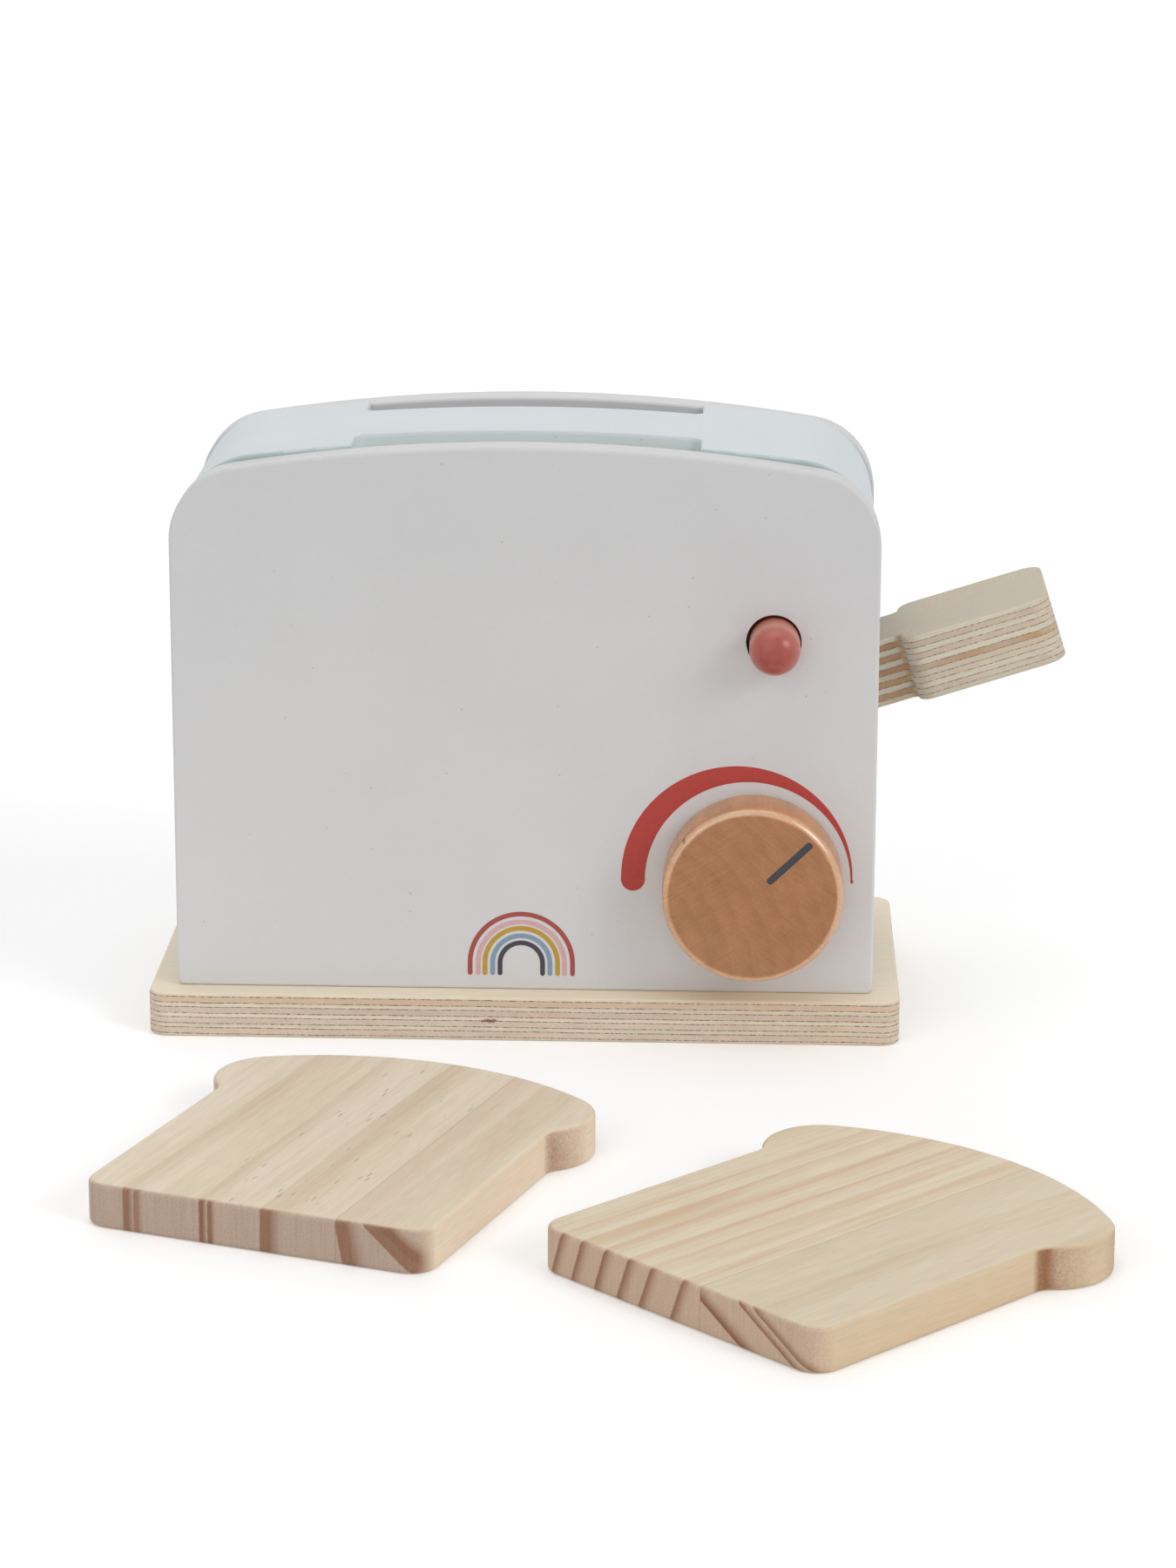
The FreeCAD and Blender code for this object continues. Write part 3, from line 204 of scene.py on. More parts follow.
def plywood(name, place, turn, plies, tones, brown_plies=(), brown_before=None, knots=(), painted_light_along_x=0.0):
    """Birch plywood: plies laid crosswise and lengthwise in turn, with thin broken glue lines.

    The board's own axes start at its underside, X along it. plies are the thicknesses of the lowest
    ply, of a crosswise and of a lengthwise one; they are counted from the first crosswise one.
    tones are face veneer, long grain, end grain, glue and brown wood. brown_plies are the numbers of
    the brown plies and how brown each is. brown_before is a place along the board before which the
    cut ends are brown. A knot is a brown fleck, four times as long as it is high. The last argument
    is a painted light: how much lighter the face veneer is coloured over 100 mm along the board, for
    the stronger light towards that end.
    """
    lowest, crosswise_ply, lengthwise_ply = plies
    pair = crosswise_ply + lengthwise_ply
    glue_wander, glue_core, glue_edge = 0.25, 0.08, 0.18
    veneer, long_grain, end_grain, glue, brown = [colour(tone) for tone in tones]
    material, tree, surface = new_material(name, 0.6, 0.3)
    point, normal = on_own_axes(tree, place, turn)
    far = add(tree, "SeparateXYZ", point, output="X")
    height = add(tree, "SeparateXYZ", point, output="Z")
    facings = [add(tree, "SeparateXYZ", normal, output=axis) for axis in "XYZ"]
    side_x, side_y, facing_up = [add(tree, "Math", part, operation="ABSOLUTE") for part in facings]
    # The glue lines wander by a quarter of a millimetre over 20 mm
    wander = add(tree, "TexNoise", point, 1 / 20, 2.0)
    waved = add(tree, "Math", wander, 2 * glue_wander, height, operation="MULTIPLY_ADD")
    level = add(tree, "Math", waved, 1 / pair, -(lowest + glue_wander) / pair, operation="MULTIPLY_ADD")
    within = add(tree, "Math", level, operation="FRACT")
    lengthwise = add(tree, "Math", within, crosswise_ply / pair, operation="GREATER_THAN")
    whole_pairs = add(tree, "Math", level, operation="FLOOR")
    number = add(tree, "Math", whole_pairs, 2.0, lengthwise, operation="MULTIPLY_ADD")
    # Fibres half a millimetre wide and twenty times as long, along each ply's own grain, so that cut
    # ends show as dots
    apart = add(tree, "CombineXYZ", 0.0, 0.0, add(tree, "Math", number, 37.0, operation="MULTIPLY"))
    drawn_across = add(tree, "VectorMath", point, (1.0, 1 / 20, 1.0), operation="MULTIPLY")
    drawn_along = add(tree, "VectorMath", point, (1 / 20, 1.0, 1.0), operation="MULTIPLY")
    grain = add(tree, "Mix", lengthwise, drawn_across, drawn_along, data_type="VECTOR")
    grain = add(tree, "VectorMath", grain, apart, operation="ADD")
    fibre = add(tree, "TexNoise", grain, 1 / 0.5, 4.0, 0.7)
    clouds = add(tree, "TexNoise", grain, 1 / 6.25, 2.0, 0.5)
    # End grain shows where the surface looks along the ply's fibres
    on_edge = add(tree, "MapRange", facing_up, 0.6, 0.95, 1.0, 0.0)
    cut = add(tree, "Mix", lengthwise, side_y, side_x, data_type="FLOAT")
    wood = add(tree, "Mix", cut, long_grain, end_grain, data_type="RGBA")
    # A flush of brown comes and goes along the edge
    flush = add(tree, "MapRange", add(tree, "TexNoise", point, 0.035, 2.0), 0.45, 0.65, 0.0, 0.18)
    flush = add(tree, "Math", flush, cut, operation="MULTIPLY")
    wood = add(tree, "Mix", flush, wood, brown, data_type="RGBA")
    # The face veneer has its own slow tan clouds
    tanned = add(tree, "MapRange", clouds, 0.4, 0.62, 0.0, 0.16)
    top = add(tree, "Mix", tanned, veneer, brown, data_type="RGBA")
    # Painted light: the face veneer is coloured lighter along X, for the stronger light at that end
    painted_light_factor = add(tree, "Math", far, painted_light_along_x / 100, 1.0, operation="MULTIPLY_ADD")
    top = add(tree, "VectorMath", top, painted_light_factor, operation="SCALE")
    wood = add(tree, "Mix", on_edge, top, wood, data_type="RGBA")
    brown_shares = []
    if brown_before is not None:
        scorched = add(tree, "MapRange", far, brown_before - 0.8, brown_before + 0.4, 0.9, 0.0)
        brown_shares.append(add(tree, "Math", scorched, cut, operation="MULTIPLY"))
    # A brown ply is brown from fibre to fibre and in clouds
    mottled = add(tree, "Math", add(tree, "Math", clouds, fibre, operation="ADD"), 0.5, operation="MULTIPLY")
    for brown_ply, share in brown_plies:
        here = add(tree, "Math", number, float(brown_ply), 0.5, operation="COMPARE")
        patchy = add(tree, "MapRange", mottled, 0.42, 0.56, 0.3 * share, share)
        brown_shares.append(add(tree, "Math", here, patchy, operation="MULTIPLY"))
    for share in brown_shares:
        on_edge_only = add(tree, "Math", share, on_edge, operation="MULTIPLY")
        wood = add(tree, "Mix", on_edge_only, wood, brown, data_type="RGBA")
    ply_chance = add(tree, "TexWhiteNoise", number, noise_dimensions="1D")
    ply_tone = add(tree, "MapRange", ply_chance, 0.0, 1.0, 0.97, 1.03)
    # Sawn fibres stand out twice as much as planed ones
    contrast = add(tree, "Mix", on_edge, 0.3, 0.62, data_type="FLOAT")
    streaks = add(tree, "Math", fibre, -0.5, operation="ADD")
    streaks = add(tree, "Math", streaks, contrast, 1.0, operation="MULTIPLY_ADD")
    patches = add(tree, "MapRange", clouds, 0.3, 0.7, 0.95, 1.05)
    shade = add(tree, "Math", ply_tone, streaks, operation="MULTIPLY")
    shade = add(tree, "Math", shade, patches, operation="MULTIPLY")
    wood = add(tree, "VectorMath", wood, shade, operation="SCALE")
    # Glue lines, a third of a millimetre wide and broken, only on the sawn edges
    to_pair = add(tree, "Math", within, 0.5, operation="PINGPONG")
    to_middle = add(tree, "Math", within, -crosswise_ply / pair, operation="ADD")
    to_middle = add(tree, "Math", to_middle, operation="ABSOLUTE")
    nearness = add(tree, "Math", to_pair, to_middle, operation="MINIMUM")
    line = add(tree, "MapRange", nearness, glue_core / pair, glue_edge / pair, 1.0, 0.0)
    broken = add(tree, "MapRange", add(tree, "TexNoise", point, 1.1, 2.0), 0.38, 0.62, 0.2, 1.0)
    glued = add(tree, "Math", line, broken, operation="MULTIPLY")
    glued = add(tree, "Math", glued, on_edge, operation="MULTIPLY")
    wood = add(tree, "Mix", glued, wood, glue, data_type="RGBA")
    for knot in knots:
        away = add(tree, "VectorMath", point, [-part for part in knot], operation="ADD")
        flat = add(tree, "VectorMath", away, (0.25, 0.25, 1.0), operation="MULTIPLY")
        distance = add(tree, "VectorMath", flat, operation="LENGTH", output="Value")
        ragged = add(tree, "TexNoise", point, 1.1, 3.0, 0.7)
        ragged = add(tree, "Math", ragged, 1.4, distance, operation="MULTIPLY_ADD")
        fleck = add(tree, "MapRange", ragged, 1.0, 1.4, 0.9, 0.0)
        wood = add(tree, "Mix", fleck, wood, colour("7f4f3a"), data_type="RGBA")
    tree.links.new(wood, surface.inputs["Base Color"])
    relief = add(tree, "Math", fibre, glued, operation="SUBTRACT")
    tree.links.new(add(tree, "Bump", 0.5, 0.06 * MM, named={"Height": relief}), surface.inputs["Normal"])
    return material


# Varnished matt: the plies keep their own tones, cream where the fibres lie along and greyer where cut
dress(
    plywood(
        "birch_plywood_varnished_matt",
        place=(0, 0, 0),
        turn=(0, 0, 0),
        plies=(0.9, 1.7, 1.16),
        tones=("efe4cd", "ded0bb", "d6c4b1", "745d4d", "d4aa83"),
        brown_plies=((6, 0.45),),
        knots=((-9.0, -49.0, 5.6),),
        # Painted light: the top is coloured lighter towards the right end, where more light falls
        painted_light_along_x=0.04,
    ),
    "base_plate",
)

# ------------------------------------------------------------------------------------------------
# Front and back panels: 10 mm boards with an arched top, sprayed with matt white paint and sanded
# between coats. They are dowelled to the core and screwed from under the base.
# ------------------------------------------------------------------------------------------------

PAINTED_LIGHT_FOOT, PAINTED_LIGHT_CROWN = 14.0, 135.0
PAST_SLOT_ENDS = 50.0
JOINT_START, JOINT_END = 30.9, 31.4


def matt_paint(name, tone, painted_light_in_slots=None, painted_shade_at_joints=None, painted_light_foot_to_crown=(1.0, 1.0)):
    """Matt spray paint on sanded wood: faint clouds, a fine nap and a few dust nibs under the coat.

    A nib is a dot half a millimetre across in some of the cells of a 5 mm lattice. The other tones,
    if there are any, are painted light and shade: a lighter one on the upright walls of the slots, for
    the light that reaches into them, and a darker one along the joints with the panels, for the shade there.
    The last argument is a painted light: how light the coat is coloured at the foot and at the crown of the
    toaster, for the light that falls on each.
    """
    material, tree, surface = new_material(name, 0.5, 0.35)
    point, normal = on_own_axes(tree)
    clouds = add(tree, "MapRange", add(tree, "TexNoise", point, 0.03, 3.0), 0.3, 0.7, 0.985, 1.012)
    brushed = add(tree, "VectorMath", point, (0.6, 1.0, 1.0), operation="MULTIPLY")
    nap = add(tree, "TexNoise", brushed, 1.1, 3.0, 0.6)
    weave = add(tree, "MapRange", nap, 0.3, 0.7, 0.99, 1.008)
    distance = add(tree, "TexVoronoi", point, 1 / 5, output="Distance")
    chance = add(tree, "SeparateColor", add(tree, "TexVoronoi", point, 1 / 5, output="Color"))
    chosen = add(tree, "Math", chance, 0.4, operation="GREATER_THAN")
    dot = add(tree, "MapRange", distance, 0.03, 0.06, 1.0, 0.0)
    nib = add(tree, "Math", dot, chosen, operation="MULTIPLY")
    shade = add(tree, "Math", clouds, weave, operation="MULTIPLY")
    shade = add(tree, "Math", nib, -0.3, shade, operation="MULTIPLY_ADD")
    height = add(tree, "SeparateXYZ", point, output="Z")
    # Painted light: from the foot to the crown the colour is scaled from the first given number to the
    # second
    coat = add(tree, "MapRange", height, PAINTED_LIGHT_FOOT, PAINTED_LIGHT_CROWN, *painted_light_foot_to_crown)
    shade = add(tree, "Math", shade, coat, operation="MULTIPLY")
    paint = add(tree, "RGB")
    paint.default_value = colour(tone)
    # Painted light: on the upright walls of the slots the paint is coloured lighter and greener, for the
    # light that reaches in and bounces between the mint walls
    if painted_light_in_slots:
        upwards = add(tree, "Math", add(tree, "SeparateXYZ", normal, output="Z"), operation="ABSOLUTE")
        on_wall = add(tree, "MapRange", upwards, 0.1, 0.5, 1.0, 0.0)
        from_middle = add(tree, "SeparateXYZ", point, output="X")
        between_ends = add(tree, "Math", from_middle, 0.0, PAST_SLOT_ENDS, operation="COMPARE")
        on_slot_wall = add(tree, "Math", on_wall, between_ends, operation="MULTIPLY")
        paint = add(tree, "Mix", on_slot_wall, paint, colour(painted_light_in_slots), data_type="RGBA")
    # Painted shade: along the joints with the panels the paint is coloured darker, for the shade in the step
    # between core and panel
    if painted_shade_at_joints:
        outwards = add(tree, "Math", add(tree, "SeparateXYZ", point, output="Y"), operation="ABSOLUTE")
        at_joint = add(tree, "MapRange", outwards, JOINT_START, JOINT_END, 0.0, 1.0)
        paint = add(tree, "Mix", at_joint, paint, colour(painted_shade_at_joints), data_type="RGBA")
    painted = add(tree, "VectorMath", paint, shade, operation="SCALE")
    tree.links.new(painted, surface.inputs["Base Color"])
    relief = add(tree, "Math", nib, 2.0, nap, operation="MULTIPLY_ADD")
    tree.links.new(add(tree, "Bump", 0.4, 0.03 * MM, named={"Height": relief}), surface.inputs["Normal"])
    return material


# Matt white spray paint: even, dry-looking, with a soft broad sheen. Painted light makes it a little
# whiter at the foot, for the light the table throws back onto it, and greyer at the crown
dress(
    matt_paint("matt_white_spray_paint", "d2d2d3", painted_light_foot_to_crown=(1.07, 0.955)),
    "front_panel",
    "back_panel",
)

# ------------------------------------------------------------------------------------------------
# Core: the block with the two toast slots and the two side boards, painted pale mint before the
# panels go on, so that the mint shows as a low step behind the white edge.
# ------------------------------------------------------------------------------------------------

# Matt mint spray paint: the panels' coat with a little blue-green in it; painted light makes the walls
# of the slots lighter and greener, and painted shade makes the joints with the panels duller
dress(
    matt_paint("matt_mint_spray_paint", "ced4d8", painted_light_in_slots="e8f1f1", painted_shade_at_joints="b3c3c2"),
    "top_block",
    "left_side_board",
    "right_side_board",
)

# ------------------------------------------------------------------------------------------------
# Dial print: a red band of ink that tapers to a point, screen-printed on the front panel around the
# knob after the white paint has dried.
# ------------------------------------------------------------------------------------------------

FRONT_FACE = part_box("front_panel")[0][1] / MM
INK_DEPTH = 0.02
INK_HEIGHT = 0.05


def mesh_piece(name, points, faces, body, material):
    """A finished piece from points in millimetres and faces, riding on a body."""
    mesh = bpy.data.meshes.new(name)
    mesh.from_pydata((points * MM).tolist(), [], faces)
    mesh.materials.append(material)
    piece = bpy.data.objects.new(name, mesh)
    bpy.context.scene.collection.objects.link(piece)
    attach(piece, body)
    return piece


def stroke(name, centre, across, half, low, high, body, material):
    """A printed stroke with round ends, as a thin closed plate between two levels of Y.

    Each station of the centre line has a unit vector across it and half a width. The edges are
    centre + half * across and centre - half * across. Past each end, a quarter turn of an angle a
    adds stations at half * sin(a) along the line, with the half width half * cos(a).
    """
    along = np.stack([-across[:, 1], across[:, 0]], 1)
    if np.dot(along[0], centre[1] - centre[0]) < 0:
        along = -along
    turn = np.radians(np.linspace(88, 10, 8))[:, None]
    first = centre[0] - along[0] * half[0] * np.sin(turn)
    last = centre[-1] + along[-1] * half[-1] * np.sin(turn[::-1])
    line = np.concatenate([first, centre, last])
    side = across[np.clip(np.arange(len(line)) - len(turn), 0, len(across) - 1)]
    reach = np.concatenate([half[0] * np.cos(turn), half[:, None], half[-1] * np.cos(turn[::-1])])
    left, right = line + side * reach, line - side * reach
    # The four edges of the plate: left low, left high, right high and right low
    edges = np.stack([left, left, right, right])
    level = np.broadcast_to(np.array([[low], [high], [high], [low]]), edges.shape[:2])
    points = np.stack([edges[..., 0], level, edges[..., 1]], 2).reshape(-1, 3)
    stations = len(line)
    step = np.arange(stations - 1)
    edge = np.arange(4)[:, None]
    here, beside = edge * stations + step, (edge + 1) % 4 * stations + step
    sides = np.stack([here, beside, beside + 1, here + 1], 2).reshape(-1, 4)
    end = np.arange(4) * stations
    faces = np.concatenate([sides, [end[::-1], end + stations - 1]])
    # The signed volume tells which way the faces look; all are turned where it is negative
    a, b, c, d = points[faces].transpose(1, 0, 2)
    if np.sum(a * (np.cross(b, c) + np.cross(c, d))) < 0:
        faces = faces[:, ::-1]
    return mesh_piece(name, points, faces.tolist(), body, material)


def screen_ink(name, tone):
    """Screen-printing ink: a flat, slightly glossier film than the paint, with faint pinholes."""
    material, tree, surface = new_material(name, 0.42, 0.4)
    point, _ = on_own_axes(tree)
    mottle = add(tree, "MapRange", add(tree, "TexNoise", point, 0.6, 4.0, 0.7), 0.3, 0.7, 0.95, 1.05)
    pinholes = add(tree, "MapRange", add(tree, "TexNoise", point, 3.0, 1.0), 0.24, 0.3, 0.85, 1.0)
    shade = add(tree, "Math", mottle, pinholes, operation="MULTIPLY")
    inked = add(tree, "VectorMath", colour(tone)[:3], shade, operation="SCALE")
    tree.links.new(inked, surface.inputs["Base Color"])
    tree.links.new(add(tree, "Bump", 0.3, 0.02 * MM, named={"Height": mottle}), surface.inputs["Normal"])
    return material


DIAL_OUTER_CENTRE, DIAL_OUTER_RADIUS = (56.3, 43.9), 30.6
DIAL_INNER_CENTRE, DIAL_INNER_RADIUS = (59.2, 43.0), 27.2
DIAL_START, DIAL_END = 180.6, -0.4

dial_turn = np.radians(np.linspace(DIAL_START, DIAL_END, 120))
dial_outline = np.stack([np.cos(dial_turn), np.sin(dial_turn)], 1)
outer_edge = np.array(DIAL_OUTER_CENTRE) + DIAL_OUTER_RADIUS * dial_outline
inner_edge = np.array(DIAL_INNER_CENTRE) + DIAL_INNER_RADIUS * dial_outline
dial_width = np.linalg.norm(outer_edge - inner_edge, axis=1)
stroke(
    "dial_arc_print",
    (outer_edge + inner_edge) / 2,
    (outer_edge - inner_edge) / dial_width[:, None],
    dial_width / 2,
    FRONT_FACE + INK_DEPTH,
    FRONT_FACE - INK_HEIGHT,
    "body",
    screen_ink("red_screen_ink", "b3403a"),
)

# ------------------------------------------------------------------------------------------------
# Rainbow print: five plain arches, one inside the other, printed low on the front panel in the same
# kind of screen-printing ink, one colour after another.
# ------------------------------------------------------------------------------------------------

RAINBOW_MIDDLE = -0.75
RAINBOW_CENTRE_HEIGHT = 19.4
RAINBOW_FOOT = 16.6
RAINBOW_STROKE = 1.3
RAINBOW_ARCHES = (
    ("red", 13.66, "a6504a"),
    ("pink", 11.5, "d4acae"),
    ("mustard", 9.7, "be9a3c"),
    ("blue", 7.64, "849db4"),
    ("charcoal", 5.67, "45434d"),
)

bend_turn = np.radians(np.linspace(180, 0, 49))
bend = np.stack([np.cos(bend_turn), np.sin(bend_turn)], 1)
arch_across = np.concatenate([bend[:1], bend, bend[-1:]])
for ink_name, arch_radius, ink_tone in RAINBOW_ARCHES:
    arch = np.array([RAINBOW_MIDDLE, RAINBOW_CENTRE_HEIGHT]) + arch_radius * arch_across
    arch[[0, -1], 1] = RAINBOW_FOOT
    stroke(
        "rainbow_%s_print" % ink_name,
        arch,
        arch_across,
        np.full(len(arch), RAINBOW_STROKE / 2),
        FRONT_FACE + INK_DEPTH,
        FRONT_FACE - INK_HEIGHT,
        "body",
        screen_ink("%s_screen_ink" % ink_name, ink_tone),
    )

# ------------------------------------------------------------------------------------------------
# Lever: cut from 18 mm plywood of eleven plies, its long sides band-sawn and left bare, the corners
# rounded. It rocks on a dowel between the panels.
# ------------------------------------------------------------------------------------------------

LEVER_PIVOT = (72.0, 0.0, 85.8)
LEVER_TILT = 17.8
LEVER_THICKNESS = 18.0
LEVER_PLY = 1.64
LEVER_GRIP_START = 31.3
lever_under = (
    LEVER_PIVOT[0] + LEVER_THICKNESS / 2 * math.sin(math.radians(LEVER_TILT)),
    LEVER_PIVOT[1],
    LEVER_PIVOT[2] - LEVER_THICKNESS / 2 * math.cos(math.radians(LEVER_TILT)),
)
# Bare sawn plywood: drier and greyer than the varnished base, with a few brown plies, one of them
# nearly all brown
dress(
    plywood(
        "birch_plywood_bare_sawn",
        place=lever_under,
        turn=(0, -LEVER_TILT, 0),
        plies=(LEVER_PLY, LEVER_PLY, LEVER_PLY),
        tones=("c5bba8", "d3cab7", "cdc1af", "86705a", "b68f6a"),
        brown_plies=((4, 0.8), (3, 0.45), (-1, 0.35), (8, 0.15), (6, 0.12)),
        brown_before=LEVER_GRIP_START,
    ),
    "lever",
)

# ------------------------------------------------------------------------------------------------
# Control knob: turned from a beech round, so that its face is end grain, with a rolled edge and a
# coat of oil varnish. A charcoal stripe is painted in a shallow groove.
# ------------------------------------------------------------------------------------------------

KNOB_AXIS = (60.5, 43.3)
KNOB_FACE = -57.0
PITH = (-48.0, -26.0)
RING_SPACING = 5.2
RING_WANDER = 5.0
EDGE_CHIP = (-18.1, 0.6, 14.9)

# Turned beech under oil varnish: warm brown end grain with soft growth rings and fine sanding marks
knob_wood, knob_tree, knob_surface = new_material("turned_beech_oil_varnish", 0.26, 0.5)
point, normal = on_own_axes(knob_tree, (KNOB_AXIS[0], KNOB_FACE, KNOB_AXIS[1]))
from_pith = add(knob_tree, "VectorMath", point, (-PITH[0], 0.0, -PITH[1]), operation="ADD")
from_pith = add(knob_tree, "VectorMath", from_pith, (1.0, 0.0, 1.0), operation="MULTIPLY")
radius = add(knob_tree, "VectorMath", from_pith, operation="LENGTH", output="Value")
ring_noise = add(knob_tree, "TexNoise", point, 0.09, 2.0)
radius = add(knob_tree, "Math", ring_noise, RING_WANDER, radius, operation="MULTIPLY_ADD")
# Growth rings: the tone falls softly towards each year's end
years_out = add(knob_tree, "Math", radius, 1 / RING_SPACING, operation="MULTIPLY")
in_year = add(knob_tree, "Math", years_out, operation="FRACT")
darkens = add(knob_tree, "MapRange", in_year, 0.3, 0.88, 0.0, 0.12, interpolation_type="SMOOTHSTEP")
ends = add(knob_tree, "MapRange", in_year, 0.85, 1.0, 1.0, 0.0, interpolation_type="SMOOTHSTEP")
late = add(knob_tree, "Math", darkens, ends, operation="MULTIPLY")


def sanding_marks(tree, point, slope):
    """Scratches half a millimetre apart that run in the face at a slope in degrees above X."""
    cosine, sine = math.cos(math.radians(slope)), math.sin(math.radians(slope))
    lengthwise, crosswise = (cosine / 20, 0.0, sine / 20), (-sine, 0.0, cosine)
    along = add(tree, "VectorMath", point, lengthwise, operation="DOT_PRODUCT", output="Value")
    across = add(tree, "VectorMath", point, crosswise, operation="DOT_PRODUCT", output="Value")
    return add(tree, "TexNoise", add(tree, "CombineXYZ", along, across, 0.0), 2.2, 2.0, 0.6)


rising_marks = sanding_marks(knob_tree, point, 32)
falling_marks = sanding_marks(knob_tree, point, -38)
on_right = add(knob_tree, "MapRange", add(knob_tree, "SeparateXYZ", point, output="X"), -9.0, 5.0, 0.0, 1.0)
marks = add(knob_tree, "Mix", on_right, rising_marks, falling_marks, data_type="FLOAT")
pores = add(knob_tree, "TexNoise", point, 2.2, 2.0, 0.7)
blotches = add(knob_tree, "TexNoise", point, 0.12, 3.0, 0.6)
facing = add(knob_tree, "Math", add(knob_tree, "SeparateXYZ", normal, output="Y"), operation="ABSOLUTE")
on_face = add(knob_tree, "MapRange", facing, 0.955, 0.999, 0.0, 1.0)
knob_tone = add(knob_tree, "Mix", on_face, colour("cb9466"), colour("ad7953"), data_type="RGBA")
knob_tone = add(knob_tree, "Mix", late, knob_tone, colour("80492f"), data_type="RGBA")
# Painted sheen: the rolled edge is coloured lighter than the face and the side, for the light it catches
past_side = add(knob_tree, "MapRange", facing, 0.3, 0.6, 0.0, 1.0)
before_face = add(knob_tree, "MapRange", facing, 0.93, 0.99, 1.0, 0.0)
rolled = add(knob_tree, "Math", past_side, before_face, operation="MULTIPLY")
painted_edge_sheen = add(knob_tree, "Math", rolled, 0.45, operation="MULTIPLY")
knob_tone = add(knob_tree, "Mix", painted_edge_sheen, knob_tone, colour("dcb083"), data_type="RGBA")
shade = 1.0
for pattern, lowest, highest in ((marks, 0.90, 1.08), (pores, 0.89, 1.09), (blotches, 0.91, 1.08)):
    toned = add(knob_tree, "MapRange", pattern, 0.3, 0.7, lowest, highest)
    shade = add(knob_tree, "Math", toned, shade, operation="MULTIPLY")
knob_tone = add(knob_tree, "VectorMath", knob_tone, shade, operation="SCALE")
# The varnish gathers on the rolled edge and shines there
knob_surface.inputs["Coat IOR"].default_value = 1.7
knob_surface.inputs["Coat Roughness"].default_value = 0.2
knob_tree.links.new(rolled, knob_surface.inputs["Coat Weight"])
# One dark chip on the rolled edge
from_chip = add(knob_tree, "VectorMath", point, [-part for part in EDGE_CHIP], operation="ADD")
from_chip = add(knob_tree, "VectorMath", from_chip, (1.6, 0.5, 0.9), operation="MULTIPLY")
from_chip = add(knob_tree, "VectorMath", from_chip, operation="LENGTH", output="Value")
chip = add(knob_tree, "MapRange", from_chip, 0.5, 1.0, 0.7, 0.0)
knob_tone = add(knob_tree, "Mix", chip, knob_tone, colour("6b3d2c"), data_type="RGBA")
knob_tree.links.new(knob_tone, knob_surface.inputs["Base Color"])
knob_relief = add(knob_tree, "Math", marks, pores)
knob_tree.links.new(
    add(knob_tree, "Bump", 0.35, 0.04 * MM, named={"Height": knob_relief}), knob_surface.inputs["Normal"]
)
dress(knob_wood, "control_knob")

POINTER_ANGLE = 44.0
POINTER_START = 6.4
POINTER_LENGTH = 13.8
POINTER_WIDTH = 1.9
POINTER_CLEARANCE = 0.02
POINTER_SUNK = 0.1
POINTER_DEPTH = 0.4
POINTER_SOAK = 0.05
pointer_way = np.array([math.cos(math.radians(POINTER_ANGLE)), math.sin(math.radians(POINTER_ANGLE))])
pointer_across = np.array([-pointer_way[1], pointer_way[0]])
reach = np.linspace(POINTER_START, POINTER_START + POINTER_LENGTH, 12)[:, None]
# Charcoal paint run into the groove: flat and matt, its edges as clean as the groove's
stroke(
    "pointer_paint",
    np.array(KNOB_AXIS) + reach * pointer_way,
    np.repeat(pointer_across[None], len(reach), 0),
    np.full(len(reach), POINTER_WIDTH / 2 - POINTER_CLEARANCE),
    KNOB_FACE + POINTER_DEPTH + POINTER_SOAK,
    KNOB_FACE + POINTER_SUNK,
    "knob",
    screen_ink("charcoal_groove_paint", "3b3f45"),
)

# ------------------------------------------------------------------------------------------------
# Push button: a turned peg with a domed end, dipped in coral paint. It slides in a bored block of
# pine behind the front panel, and a coil of steel wire pushes it back out.
# ------------------------------------------------------------------------------------------------

PEG_AXIS = (65.45, 107.7)
PEG_FACE = -54.6

# Coral gloss paint: a thick coat with a soft highlight and slight orange peel
coral, coral_tree, coral_surface = new_material("coral_dipped_paint", 0.4, 0.5)
coral_surface.inputs["Coat Weight"].default_value = 0.5
coral_surface.inputs["Coat Roughness"].default_value = 0.22
point, _ = on_own_axes(coral_tree, (PEG_AXIS[0], PEG_FACE, PEG_AXIS[1]))
peel = add(coral_tree, "TexNoise", point, 0.9, 2.0, 0.5)
drawn = add(coral_tree, "VectorMath", point, (1.0, 0.15, 1.0), operation="MULTIPLY")
runs = add(coral_tree, "TexNoise", drawn, 1 / 2, 2.0)
peel_shade = add(coral_tree, "MapRange", peel, 0.3, 0.7, 0.97, 1.03)
run_shade = add(coral_tree, "MapRange", runs, 0.3, 0.7, 0.94, 1.05)
shade = add(coral_tree, "Math", peel_shade, run_shade, operation="MULTIPLY")
# Painted sheen: the peg's side is coloured lighter than the dome's end, for the broad light it catches from
# above
inwards = add(coral_tree, "SeparateXYZ", point, output="Y")
thin = add(coral_tree, "MapRange", inwards, 1.0, 5.5, 0.0, 1.0)
coral_tone = add(coral_tree, "Mix", thin, colour("9d3d2f"), colour("c57562"), data_type="RGBA")
coral_tone = add(coral_tree, "VectorMath", coral_tone, shade, operation="SCALE")
coral_tree.links.new(coral_tone, coral_surface.inputs["Base Color"])
coral_tree.links.new(
    add(coral_tree, "Bump", 0.25, 0.04 * MM, named={"Height": peel}), coral_surface.inputs["Normal"]
)
dress(coral, "push_button")


